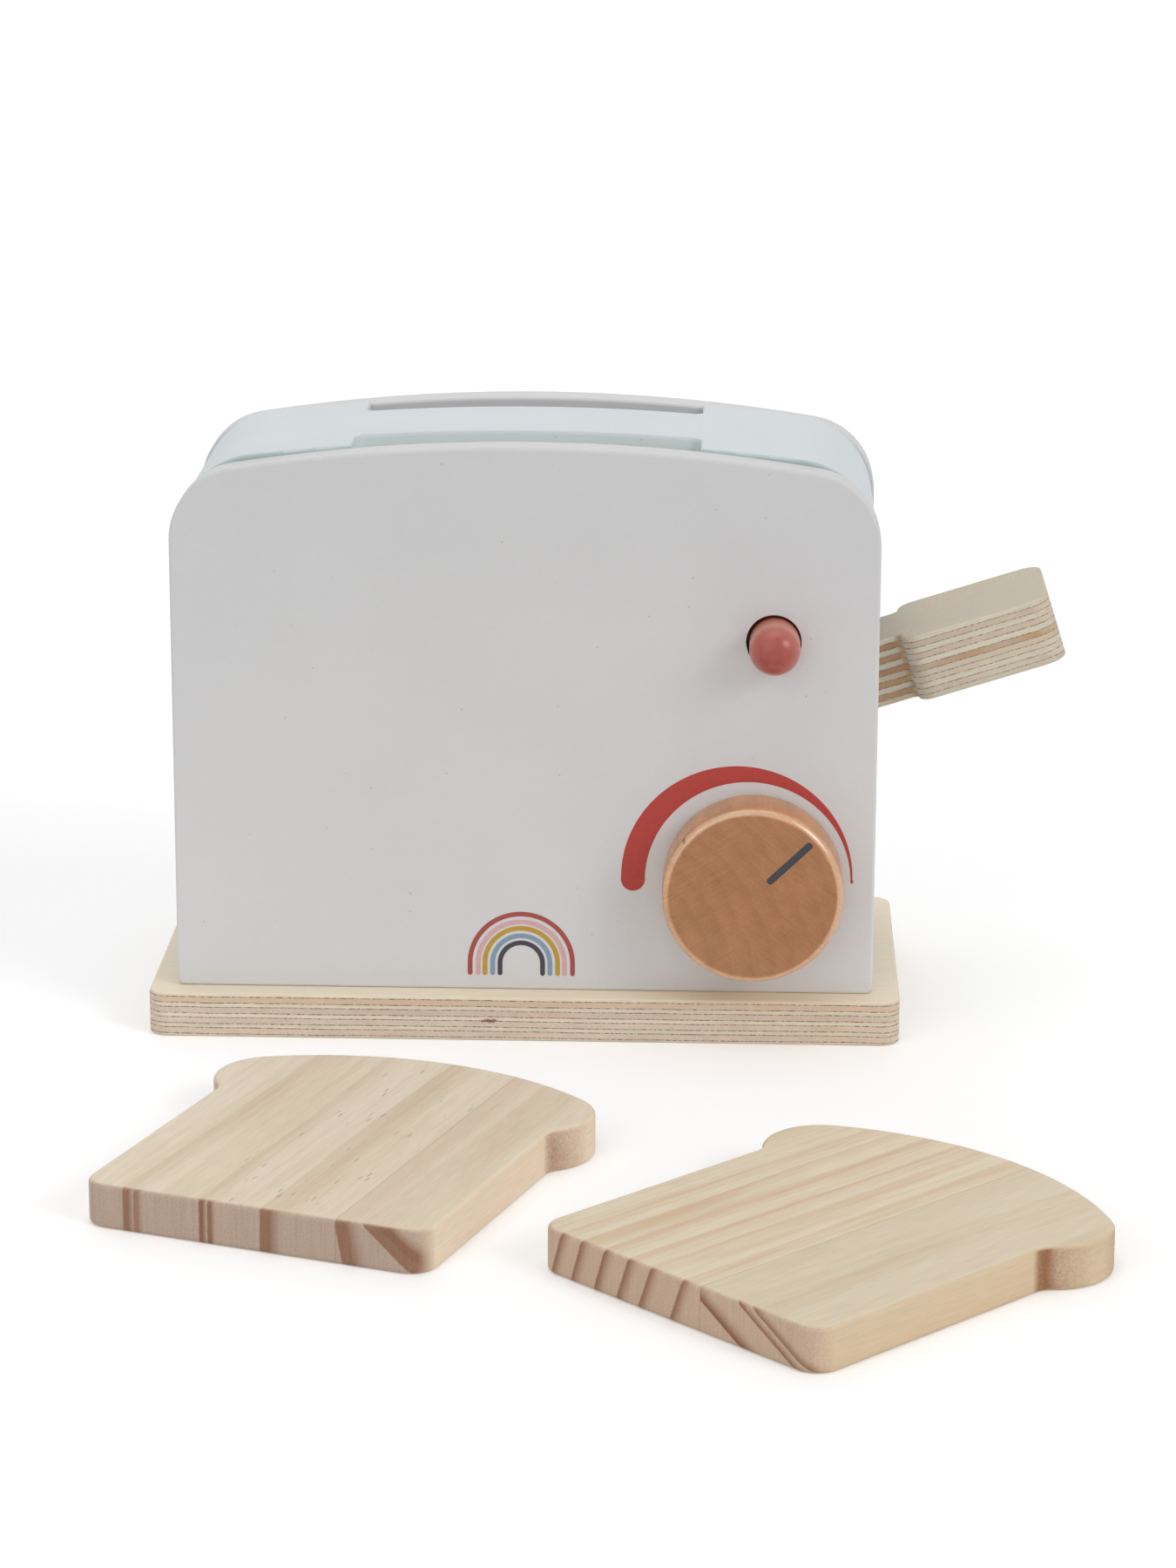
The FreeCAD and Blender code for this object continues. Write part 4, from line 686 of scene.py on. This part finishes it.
def bare_wood(name, light, dark, along, fibre_width=0.5):
    """Bare straight-grained wood: fibres and pores drawn out along one axis, with slow clouds.

    along is the stretch of X, Y and Z; the axis of the grain has the smallest number.
    """
    material, tree, surface = new_material(name, 0.65, 0.3)
    point, _ = on_own_axes(tree)
    drawn = add(tree, "VectorMath", point, along, operation="MULTIPLY")
    fibres = add(tree, "TexNoise", drawn, 1 / fibre_width, 3.0, 0.6)
    clouds = add(tree, "TexNoise", drawn, 1 / 4, 2.0)
    pores = add(tree, "MapRange", add(tree, "TexNoise", drawn, 2.6, 1.0), 0.62, 0.72, 0.0, 0.5)
    mixed = add(tree, "MapRange", fibres, 0.3, 0.75, 0.0, 0.6)
    wood = add(tree, "Mix", mixed, colour(light), colour(dark), data_type="RGBA")
    wood = add(tree, "Mix", pores, wood, colour(dark), data_type="RGBA")
    shade = add(tree, "MapRange", clouds, 0.3, 0.7, 0.93, 1.06)
    tree.links.new(add(tree, "VectorMath", wood, shade, operation="SCALE"), surface.inputs["Base Color"])
    tree.links.new(add(tree, "Bump", 0.4, 0.05 * MM, named={"Height": fibres}), surface.inputs["Normal"])
    return material


# Bare planed pine: pale, with soft straight fibres
dress(bare_wood("bare_planed_pine", "e0c69c", "c29a68", (0.08, 1.0, 1.0), 0.7), "button_housing")


def drawn_steel(name, tone, roughness, along):
    """Drawn or plated steel: a bright metal with fine marks drawn out along one axis."""
    material, tree, surface = new_material(name, roughness)
    surface.inputs["Metallic"].default_value = 1.0
    point, _ = on_own_axes(tree)
    drawn = add(tree, "VectorMath", point, along, operation="MULTIPLY")
    marks = add(tree, "TexNoise", drawn, 6.0, 2.0, 0.5)
    dull = add(tree, "MapRange", add(tree, "TexNoise", point, 0.7, 3.0), 0.3, 0.7, 0.88, 1.05)
    steel = add(tree, "VectorMath", colour(tone)[:3], dull, operation="SCALE")
    tree.links.new(steel, surface.inputs["Base Color"])
    rough = add(tree, "MapRange", marks, 0.3, 0.7, roughness - 0.08, roughness + 0.1)
    tree.links.new(rough, surface.inputs["Roughness"])
    tree.links.new(add(tree, "Bump", 0.2, 0.01 * MM, named={"Height": marks}), surface.inputs["Normal"])
    return material


SPRING_AXIS = PEG_AXIS
SPRING_FRONT = -27.65
SPRING_BACK = -18.05
SPRING_DIAMETER = 9.0
SPRING_WIRE = 0.9
SPRING_TURNS = 4.0


def coil_spring(name, axis, front, back, diameter, wire, turns, material):
    """A coil of round wire along Y, as a closed tube on a grid of two angles.

    The first angle, a, runs along the wire: the wire's middle lies at the coil's radius from the
    axis, at the angle -a, and goes back evenly from front to back. The second angle, b, runs
    round the wire: a point lies half a wire away, cos(b) of it outwards and sin(b) of it along Y.
    """
    along, around = int(48 * turns) + 1, 16
    a = np.linspace(0.0, -2 * np.pi * turns, along)[:, None]
    b = np.linspace(0.0, 2 * np.pi, around, endpoint=False)[None]
    reach = (diameter - wire) / 2 + wire / 2 * np.cos(b)
    middle = np.linspace(front + wire / 2, back - wire / 2, along)[:, None]
    grid = [axis[0] + reach * np.cos(a), middle + wire / 2 * np.sin(b), axis[1] + reach * np.sin(a)]
    points = np.stack(grid, 2).reshape(-1, 3)
    ring, corner = np.arange(along - 1)[:, None] * around, np.arange(around)
    here, beside = ring + corner, ring + (corner + 1) % around
    tube = np.stack([here, beside, beside + around, here + around], 2).reshape(-1, 4)
    ends = [corner[::-1].tolist(), (corner + (along - 1) * around).tolist()]
    return mesh_piece(name, points, tube.tolist() + ends, "body", material)


# Spring steel wire: bright and smooth from the drawing die
coil = coil_spring(
    "button_coil_spring",
    SPRING_AXIS,
    SPRING_FRONT,
    SPRING_BACK,
    SPRING_DIAMETER,
    SPRING_WIRE,
    SPRING_TURNS,
    drawn_steel("drawn_spring_steel", "b9bbbe", 0.28, (1.0, 0.2, 1.0)),
)
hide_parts("button_spring")
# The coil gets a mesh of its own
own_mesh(coil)

# ------------------------------------------------------------------------------------------------
# Fixings: zinc-plated screws driven up through the base into the side boards, and beech dowels glued
# into panels, core and side boards. The lever's pivot, spacers and lift bar and the knob's axle and
# retainer are turned from beech too.
# ------------------------------------------------------------------------------------------------

# Zinc plate: bluish, slightly cloudy metal
dress(drawn_steel("zinc_plated_steel", "c3c7cc", 0.36, (1.0, 1.0, 0.2)), "base_screws")
# Bare beech dowel: pinkish wood with short dark flecks along the grain, here from front to back
dress(
    bare_wood("bare_beech_dowel", "d9b68c", "b88c62", (1.0, 0.1, 1.0)),
    "lever_pivot",
    "lever_spacers",
    "lift_bar",
    "knob_axle",
    "knob_retainer",
    "front_panel_dowels",
    "back_panel_dowels",
    "shoulder_dowels",
)

# ------------------------------------------------------------------------------------------------
# Toast slices: sawn from 11 mm glued pine board with the grain running up the slice, the edges
# sanded round and left bare. The sawn edges show the board's growth rings.
# ------------------------------------------------------------------------------------------------

HALF_THICKNESS = 5.5
NECK_START, NECK_END = 66.0, 77.0
NECK_HOLLOW = 73.8


def bare_pine(name, place, turn, years, solid, seam, right_stave, tones, flame_share, flecks_between, burns_and_shade):
    """Bare pine seen as solid wood: each year's dark late wood is a sheet that runs up the slice.

    years lists, for each sheet: its place across the slice at mid thickness and at the slice's foot,
    its width, its lean (millimetres across for each millimetre up), its drift (across for each
    millimetre along the slice) and its darkness on cut ends and on faces. Each is sharp on its left,
    stays dark for the solid share of its width and fades to its right.
    Two staves meet at the seam, and right_stave is how light the right one is beside the left one.
    tones are two for the face, streak, long sides, end grain and late wood; the tone of the long
    sides is painted light, lighter or darker than the face as the light falls on them. flame_share
    is how strong the tan flames between the sheets are.
    Resin canals are short dark flecks between two places across the slice.
    The last argument is how far the hollow of the neck and the lobes are browned: on the lobes it is
    the cutter's scorch, in the hollow partly scorch and partly painted shade.
    """
    cream, straw, tan, painted_light_side, end_grain, late_wood = [colour(tone) for tone in tones]
    material, tree, surface = new_material(name, 0.62, 0.28)
    point, normal = on_own_axes(tree, place, (0, 0, turn))
    x, y, z = [add(tree, "SeparateXYZ", point, output=axis) for axis in "XYZ"]
    facings = [add(tree, "SeparateXYZ", normal, output=axis) for axis in "XYZ"]
    sideways, endways, upright = [add(tree, "Math", part, operation="ABSOLUTE") for part in facings]
    # The lobes are sanded round, so their end grain is closed more than the foot's
    past_neck = add(tree, "MapRange", y, NECK_START, NECK_END, 0.0, 1.0)
    sawn = add(tree, "MapRange", endways, 0.12, 0.8, 0.0, 1.0)
    open_grain = add(tree, "MapRange", past_neck, 0.0, 1.0, 1.0, 0.6)
    cut = add(tree, "Math", sawn, open_grain, operation="MULTIPLY")
    # Seven patterns of noise: how each is stretched, and its scale (one over the width in millimetres),
    # detail and roughness. Six are drawn out up the slice, the last one through its thickness
    own = add(tree, "VectorMath", point, (7.0 * place[0], 0.0, 0.0), operation="ADD")
    wander, frayed, fibres, broad, thin_lines, dots, saw_marks = [
        add(tree, "TexNoise", add(tree, "VectorMath", own, stretch, operation="MULTIPLY"), *grain)
        for stretch, grain in (
            ((1.0, 0.12, 1.0), (0.1, 1.0)),
            ((1.0, 0.08, 1.0), (0.8, 2.0)),
            ((1.0, 0.05, 1.0), (2.0, 4.0, 0.65)),
            ((1.0, 0.07, 1.0), (0.14, 3.0, 0.55)),
            ((1.0, 0.025, 1.0), (0.55, 1.0)),
            ((1.0, 0.3, 1.0), (2.2, 2.0, 0.7)),
            ((1.0, 1.0, 0.05), (1.3, 2.0)),
        )
    ]
    # The sheets wander slowly along the grain, so that the streaks on the face bend and taper
    wavy = add(tree, "MapRange", y, 0.0, 35.0, 0.0, 3.0)
    swing = add(tree, "Math", wander, -0.5, operation="ADD")
    swing = add(tree, "Math", swing, wavy, x, operation="MULTIPLY_ADD")
    fraying = add(tree, "MapRange", y, 0.0, 20.0, 0.35, 1.4)
    moved = add(tree, "Math", frayed, -0.5, operation="ADD")
    moved = add(tree, "Math", moved, fraying, swing, operation="MULTIPLY_ADD")
    up = add(tree, "Math", z, -HALF_THICKNESS, operation="ADD")
    in_right_stave = add(tree, "Math", x, seam, operation="GREATER_THAN")
    in_left_stave = add(tree, "Math", 1.0, in_right_stave, operation="SUBTRACT")
    # On the face a sheet shows half as broad again as on the cut ends
    narrow = add(tree, "Mix", cut, 0.65, 1.0, data_type="FLOAT")
    dark = None
    for year_place, width, lean, drift, dark_end, dark_face in years:
        leaned = add(tree, "Math", up, -lean, moved, operation="MULTIPLY_ADD")
        drifted = add(tree, "Math", y, -drift, leaned, operation="MULTIPLY_ADD")
        off = add(tree, "Math", drifted, -year_place, operation="ADD")
        off = add(tree, "Math", off, narrow, operation="MULTIPLY")
        rise = add(tree, "MapRange", off, -0.35, 0.15, 0.0, 1.0, interpolation_type="SMOOTHSTEP")
        fall = add(tree, "MapRange", off, solid * width, width, 1.0, 0.0)
        fading = add(tree, "Math", fall, 1.5, operation="POWER")
        strength = add(tree, "Mix", cut, dark_face, dark_end, data_type="FLOAT")
        in_stave = in_right_stave if year_place > seam else in_left_stave
        strength = add(tree, "Math", strength, in_stave, operation="MULTIPLY")
        sheet = add(tree, "Math", rise, fading, operation="MULTIPLY")
        sheet = add(tree, "Math", sheet, strength, operation="MULTIPLY")
        dark = add(tree, "Math", dark, sheet, operation="MAXIMUM") if dark else sheet
    # Faces: long fibres, broad straw-coloured clouds and tan flames
    straws = add(tree, "MapRange", broad, 0.35, 0.55, 1.0, 0.0)
    face = add(tree, "Mix", straws, cream, straw, data_type="RGBA")
    flames = add(tree, "MapRange", broad, 0.52, 0.66, 0.0, flame_share)
    lined = add(tree, "MapRange", thin_lines, 0.5, 0.68, 0.0, 2.0 * flame_share)
    lined = add(tree, "Math", lined, in_left_stave, operation="MULTIPLY")
    flames = add(tree, "Math", flames, lined, operation="ADD")
    streaks = add(tree, "Math", dark, flames, operation="ADD")
    face = add(tree, "Mix", streaks, face, tan, data_type="RGBA")
    # Painted light: the long sides take their own tone, lighter or darker than the face, for the light
    # falling on them
    on_side = add(tree, "MapRange", sideways, 0.3, 0.8, 0.0, 0.75)
    face = add(tree, "Mix", on_side, face, painted_light_side, data_type="RGBA")
    # Cut ends: late wood, dots of cut fibres and upright saw marks
    end = add(tree, "Mix", dark, end_grain, late_wood, data_type="RGBA")
    wood = add(tree, "Mix", cut, face, end, data_type="RGBA")
    # The cutter tore and scorched the rim of the lobes, most of all in the hollow of the neck, where the
    # brown is also painted shade, for the shade that gathers in that recess
    hollow_shade_and_burn, lobe_burn = burns_and_shade
    on_rim = add(tree, "MapRange", upright, 0.3, 0.8, 1.0, 0.0)
    to_hollow = add(tree, "Math", add(tree, "Math", y, -NECK_HOLLOW, operation="ADD"), operation="ABSOLUTE")
    in_hollow = add(tree, "MapRange", to_hollow, 0.6, 3.4, 1.0, 0.0, interpolation_type="SMOOTHSTEP")
    hollow = add(tree, "Math", in_hollow, on_rim, operation="MULTIPLY")
    round_lobes = add(tree, "Math", sawn, 0.9, 0.1, operation="MULTIPLY_ADD")
    lobe_rim = add(tree, "Math", past_neck, on_rim, operation="MULTIPLY")
    lobed = add(tree, "Math", round_lobes, lobe_rim, operation="MULTIPLY")
    # Painted shade: part of this brown in the hollow of the neck stands for shade in the recess
    burnt_and_shaded = add(tree, "Math", hollow, hollow_shade_and_burn, operation="MULTIPLY")
    burnt_and_shaded = add(tree, "Math", lobed, lobe_burn, burnt_and_shaded, operation="MULTIPLY_ADD")
    wood = add(tree, "Mix", burnt_and_shaded, wood, colour("96643f"), data_type="RGBA")
    lines = add(tree, "MapRange", fibres, 0.28, 0.72, 0.92, 1.06)
    stave_tone = add(tree, "MapRange", in_right_stave, 0.0, 1.0, 1.0, right_stave)
    lines = add(tree, "Math", lines, stave_tone, operation="MULTIPLY")
    speckle = add(tree, "MapRange", dots, 0.3, 0.7, 0.88, 1.1)
    sawing = add(tree, "MapRange", saw_marks, 0.3, 0.7, 0.94, 1.05)
    speckle = add(tree, "Math", speckle, sawing, operation="MULTIPLY")
    shade = add(tree, "Mix", cut, lines, speckle, data_type="FLOAT")
    torn = add(tree, "MapRange", add(tree, "TexNoise", own, 1.6, 3.0, 0.8), 0.35, 0.65, 0.74, 1.18)
    tearing = add(tree, "Math", lobed, hollow, operation="MAXIMUM")
    torn = add(tree, "Mix", tearing, 1.0, torn, data_type="FLOAT")
    shade = add(tree, "Math", shade, torn, operation="MULTIPLY")
    wood = add(tree, "VectorMath", wood, shade, operation="SCALE")
    # Resin canals: dark dashes a quarter of a millimetre wide and three long
    cells = add(tree, "VectorMath", point, (1.0, 0.09, 0.0), operation="MULTIPLY")
    near = add(tree, "TexVoronoi", cells, 1.0, output="Distance")
    chance = add(tree, "SeparateColor", add(tree, "TexVoronoi", cells, 1.0, output="Color"))
    chosen = add(tree, "Math", chance, 0.38, operation="GREATER_THAN")
    dash_strength = add(tree, "Mix", cut, 0.65, 0.2, data_type="FLOAT")
    dash = add(tree, "MapRange", near, 0.09, 0.18, dash_strength, 0.0)
    first, last = flecks_between
    zone_low = add(tree, "MapRange", x, first - 3, first + 3, 0.0, 1.0)
    zone_high = add(tree, "MapRange", x, last - 3, last + 3, 1.0, 0.0)
    zone = add(tree, "Math", zone_low, zone_high, operation="MULTIPLY")
    fleck = add(tree, "Math", dash, chosen, operation="MULTIPLY")
    fleck = add(tree, "Math", fleck, zone, operation="MULTIPLY")
    wood = add(tree, "Mix", fleck, wood, colour("6f5543"), data_type="RGBA")
    gap = add(tree, "Math", add(tree, "Math", x, -seam, operation="ADD"), operation="ABSOLUTE")
    glue = add(tree, "MapRange", gap, 0.08, 0.22, 0.3, 0.0)
    wood = add(tree, "Mix", glue, wood, colour("8b7058"), data_type="RGBA")
    tree.links.new(wood, surface.inputs["Base Color"])
    relief = add(tree, "Mix", cut, fibres, dots, data_type="FLOAT")
    relief = add(tree, "Math", relief, fleck, operation="SUBTRACT")
    tree.links.new(add(tree, "Bump", 0.5, 0.07 * MM, named={"Height": relief}), surface.inputs["Normal"])
    return material


# Bare sanded pine: pale and dry, with soft straw streaks, fine fibres and a few dark resin canals
dress(
    bare_pine(
        "bare_sanded_pine_left",
        place=(-55.9, -203.8, 0.0),
        turn=-19.8,
        years=(
            (-33.1, 3.4, 0.0, 0.02, 0.8, 0.2),
            (-30.3, 2.6, 0.0, 0.02, 0.65, 0.15),
            (-13.2, 2.4, 0.0, 0.0, 0.9, 0.2),
            (-11.0, 2.2, 0.0, 0.0, 0.85, 0.1),
            (2.6, 6.0, 0.02, 0.0, 0.8, 0.22),
            (22.6, 7.0, -0.2, 0.0, 0.8, 0.22),
            (34.8, 9.0, -1.15, 0.03, 0.8, 0.15),
            (38.6, 7.0, -1.15, 0.05, 0.9, 0.1),
        ),
        solid=0.4,
        seam=21.8,
        right_stave=1.0,
        # The fourth tone is painted light: the long sides are coloured lighter than the face
        tones=("e9dac4", "e2d1b7", "b8906a", "f1dbc1", "bba492", "8a5d45"),
        flame_share=0.05,
        flecks_between=(-14, 21),
        burns_and_shade=(0.4, 0.2),
    ),
    "left_toast_slice",
)
# The right slice is of the same pine, yellower, its years closer together, its neck more scorched
# and darker with painted shade in the hollow
dress(
    bare_pine(
        "bare_sanded_pine_right",
        place=(43.0, -242.6, 0.0),
        turn=-44.4,
        years=(
            (-38.0, 3.4, 0.33, 0.0, 0.8, 0.22),
            (-31.4, 3.6, 0.33, 0.0, 0.8, 0.22),
            (-23.8, 3.8, 0.33, 0.0, 0.85, 0.3),
            (-16.3, 4.0, 0.36, 0.01, 0.8, 0.26),
            (-9.1, 3.8, 0.38, 0.0, 0.8, 0.22),
            (1.0, 3.8, 0.38, 0.0, 0.8, 0.2),
            (12.6, 8.0, -1.7, 0.05, 0.95, 0.1),
            (29.0, 4.4, -1.7, 0.05, 0.85, 0.1),
            (33.6, 4.8, -1.7, 0.05, 0.8, 0.1),
        ),
        solid=0.15,
        seam=8.6,
        right_stave=0.93,
        # The fourth tone is painted shade: the long sides are coloured darker than the face
        tones=("e8dac1", "e0cdaf", "c8926a", "dfc5a2", "cbb098", "8d5d43"),
        flame_share=0.08,
        flecks_between=(60, 70),
        burns_and_shade=(0.8, 0.36),
    ),
    "right_toast_slice",
)
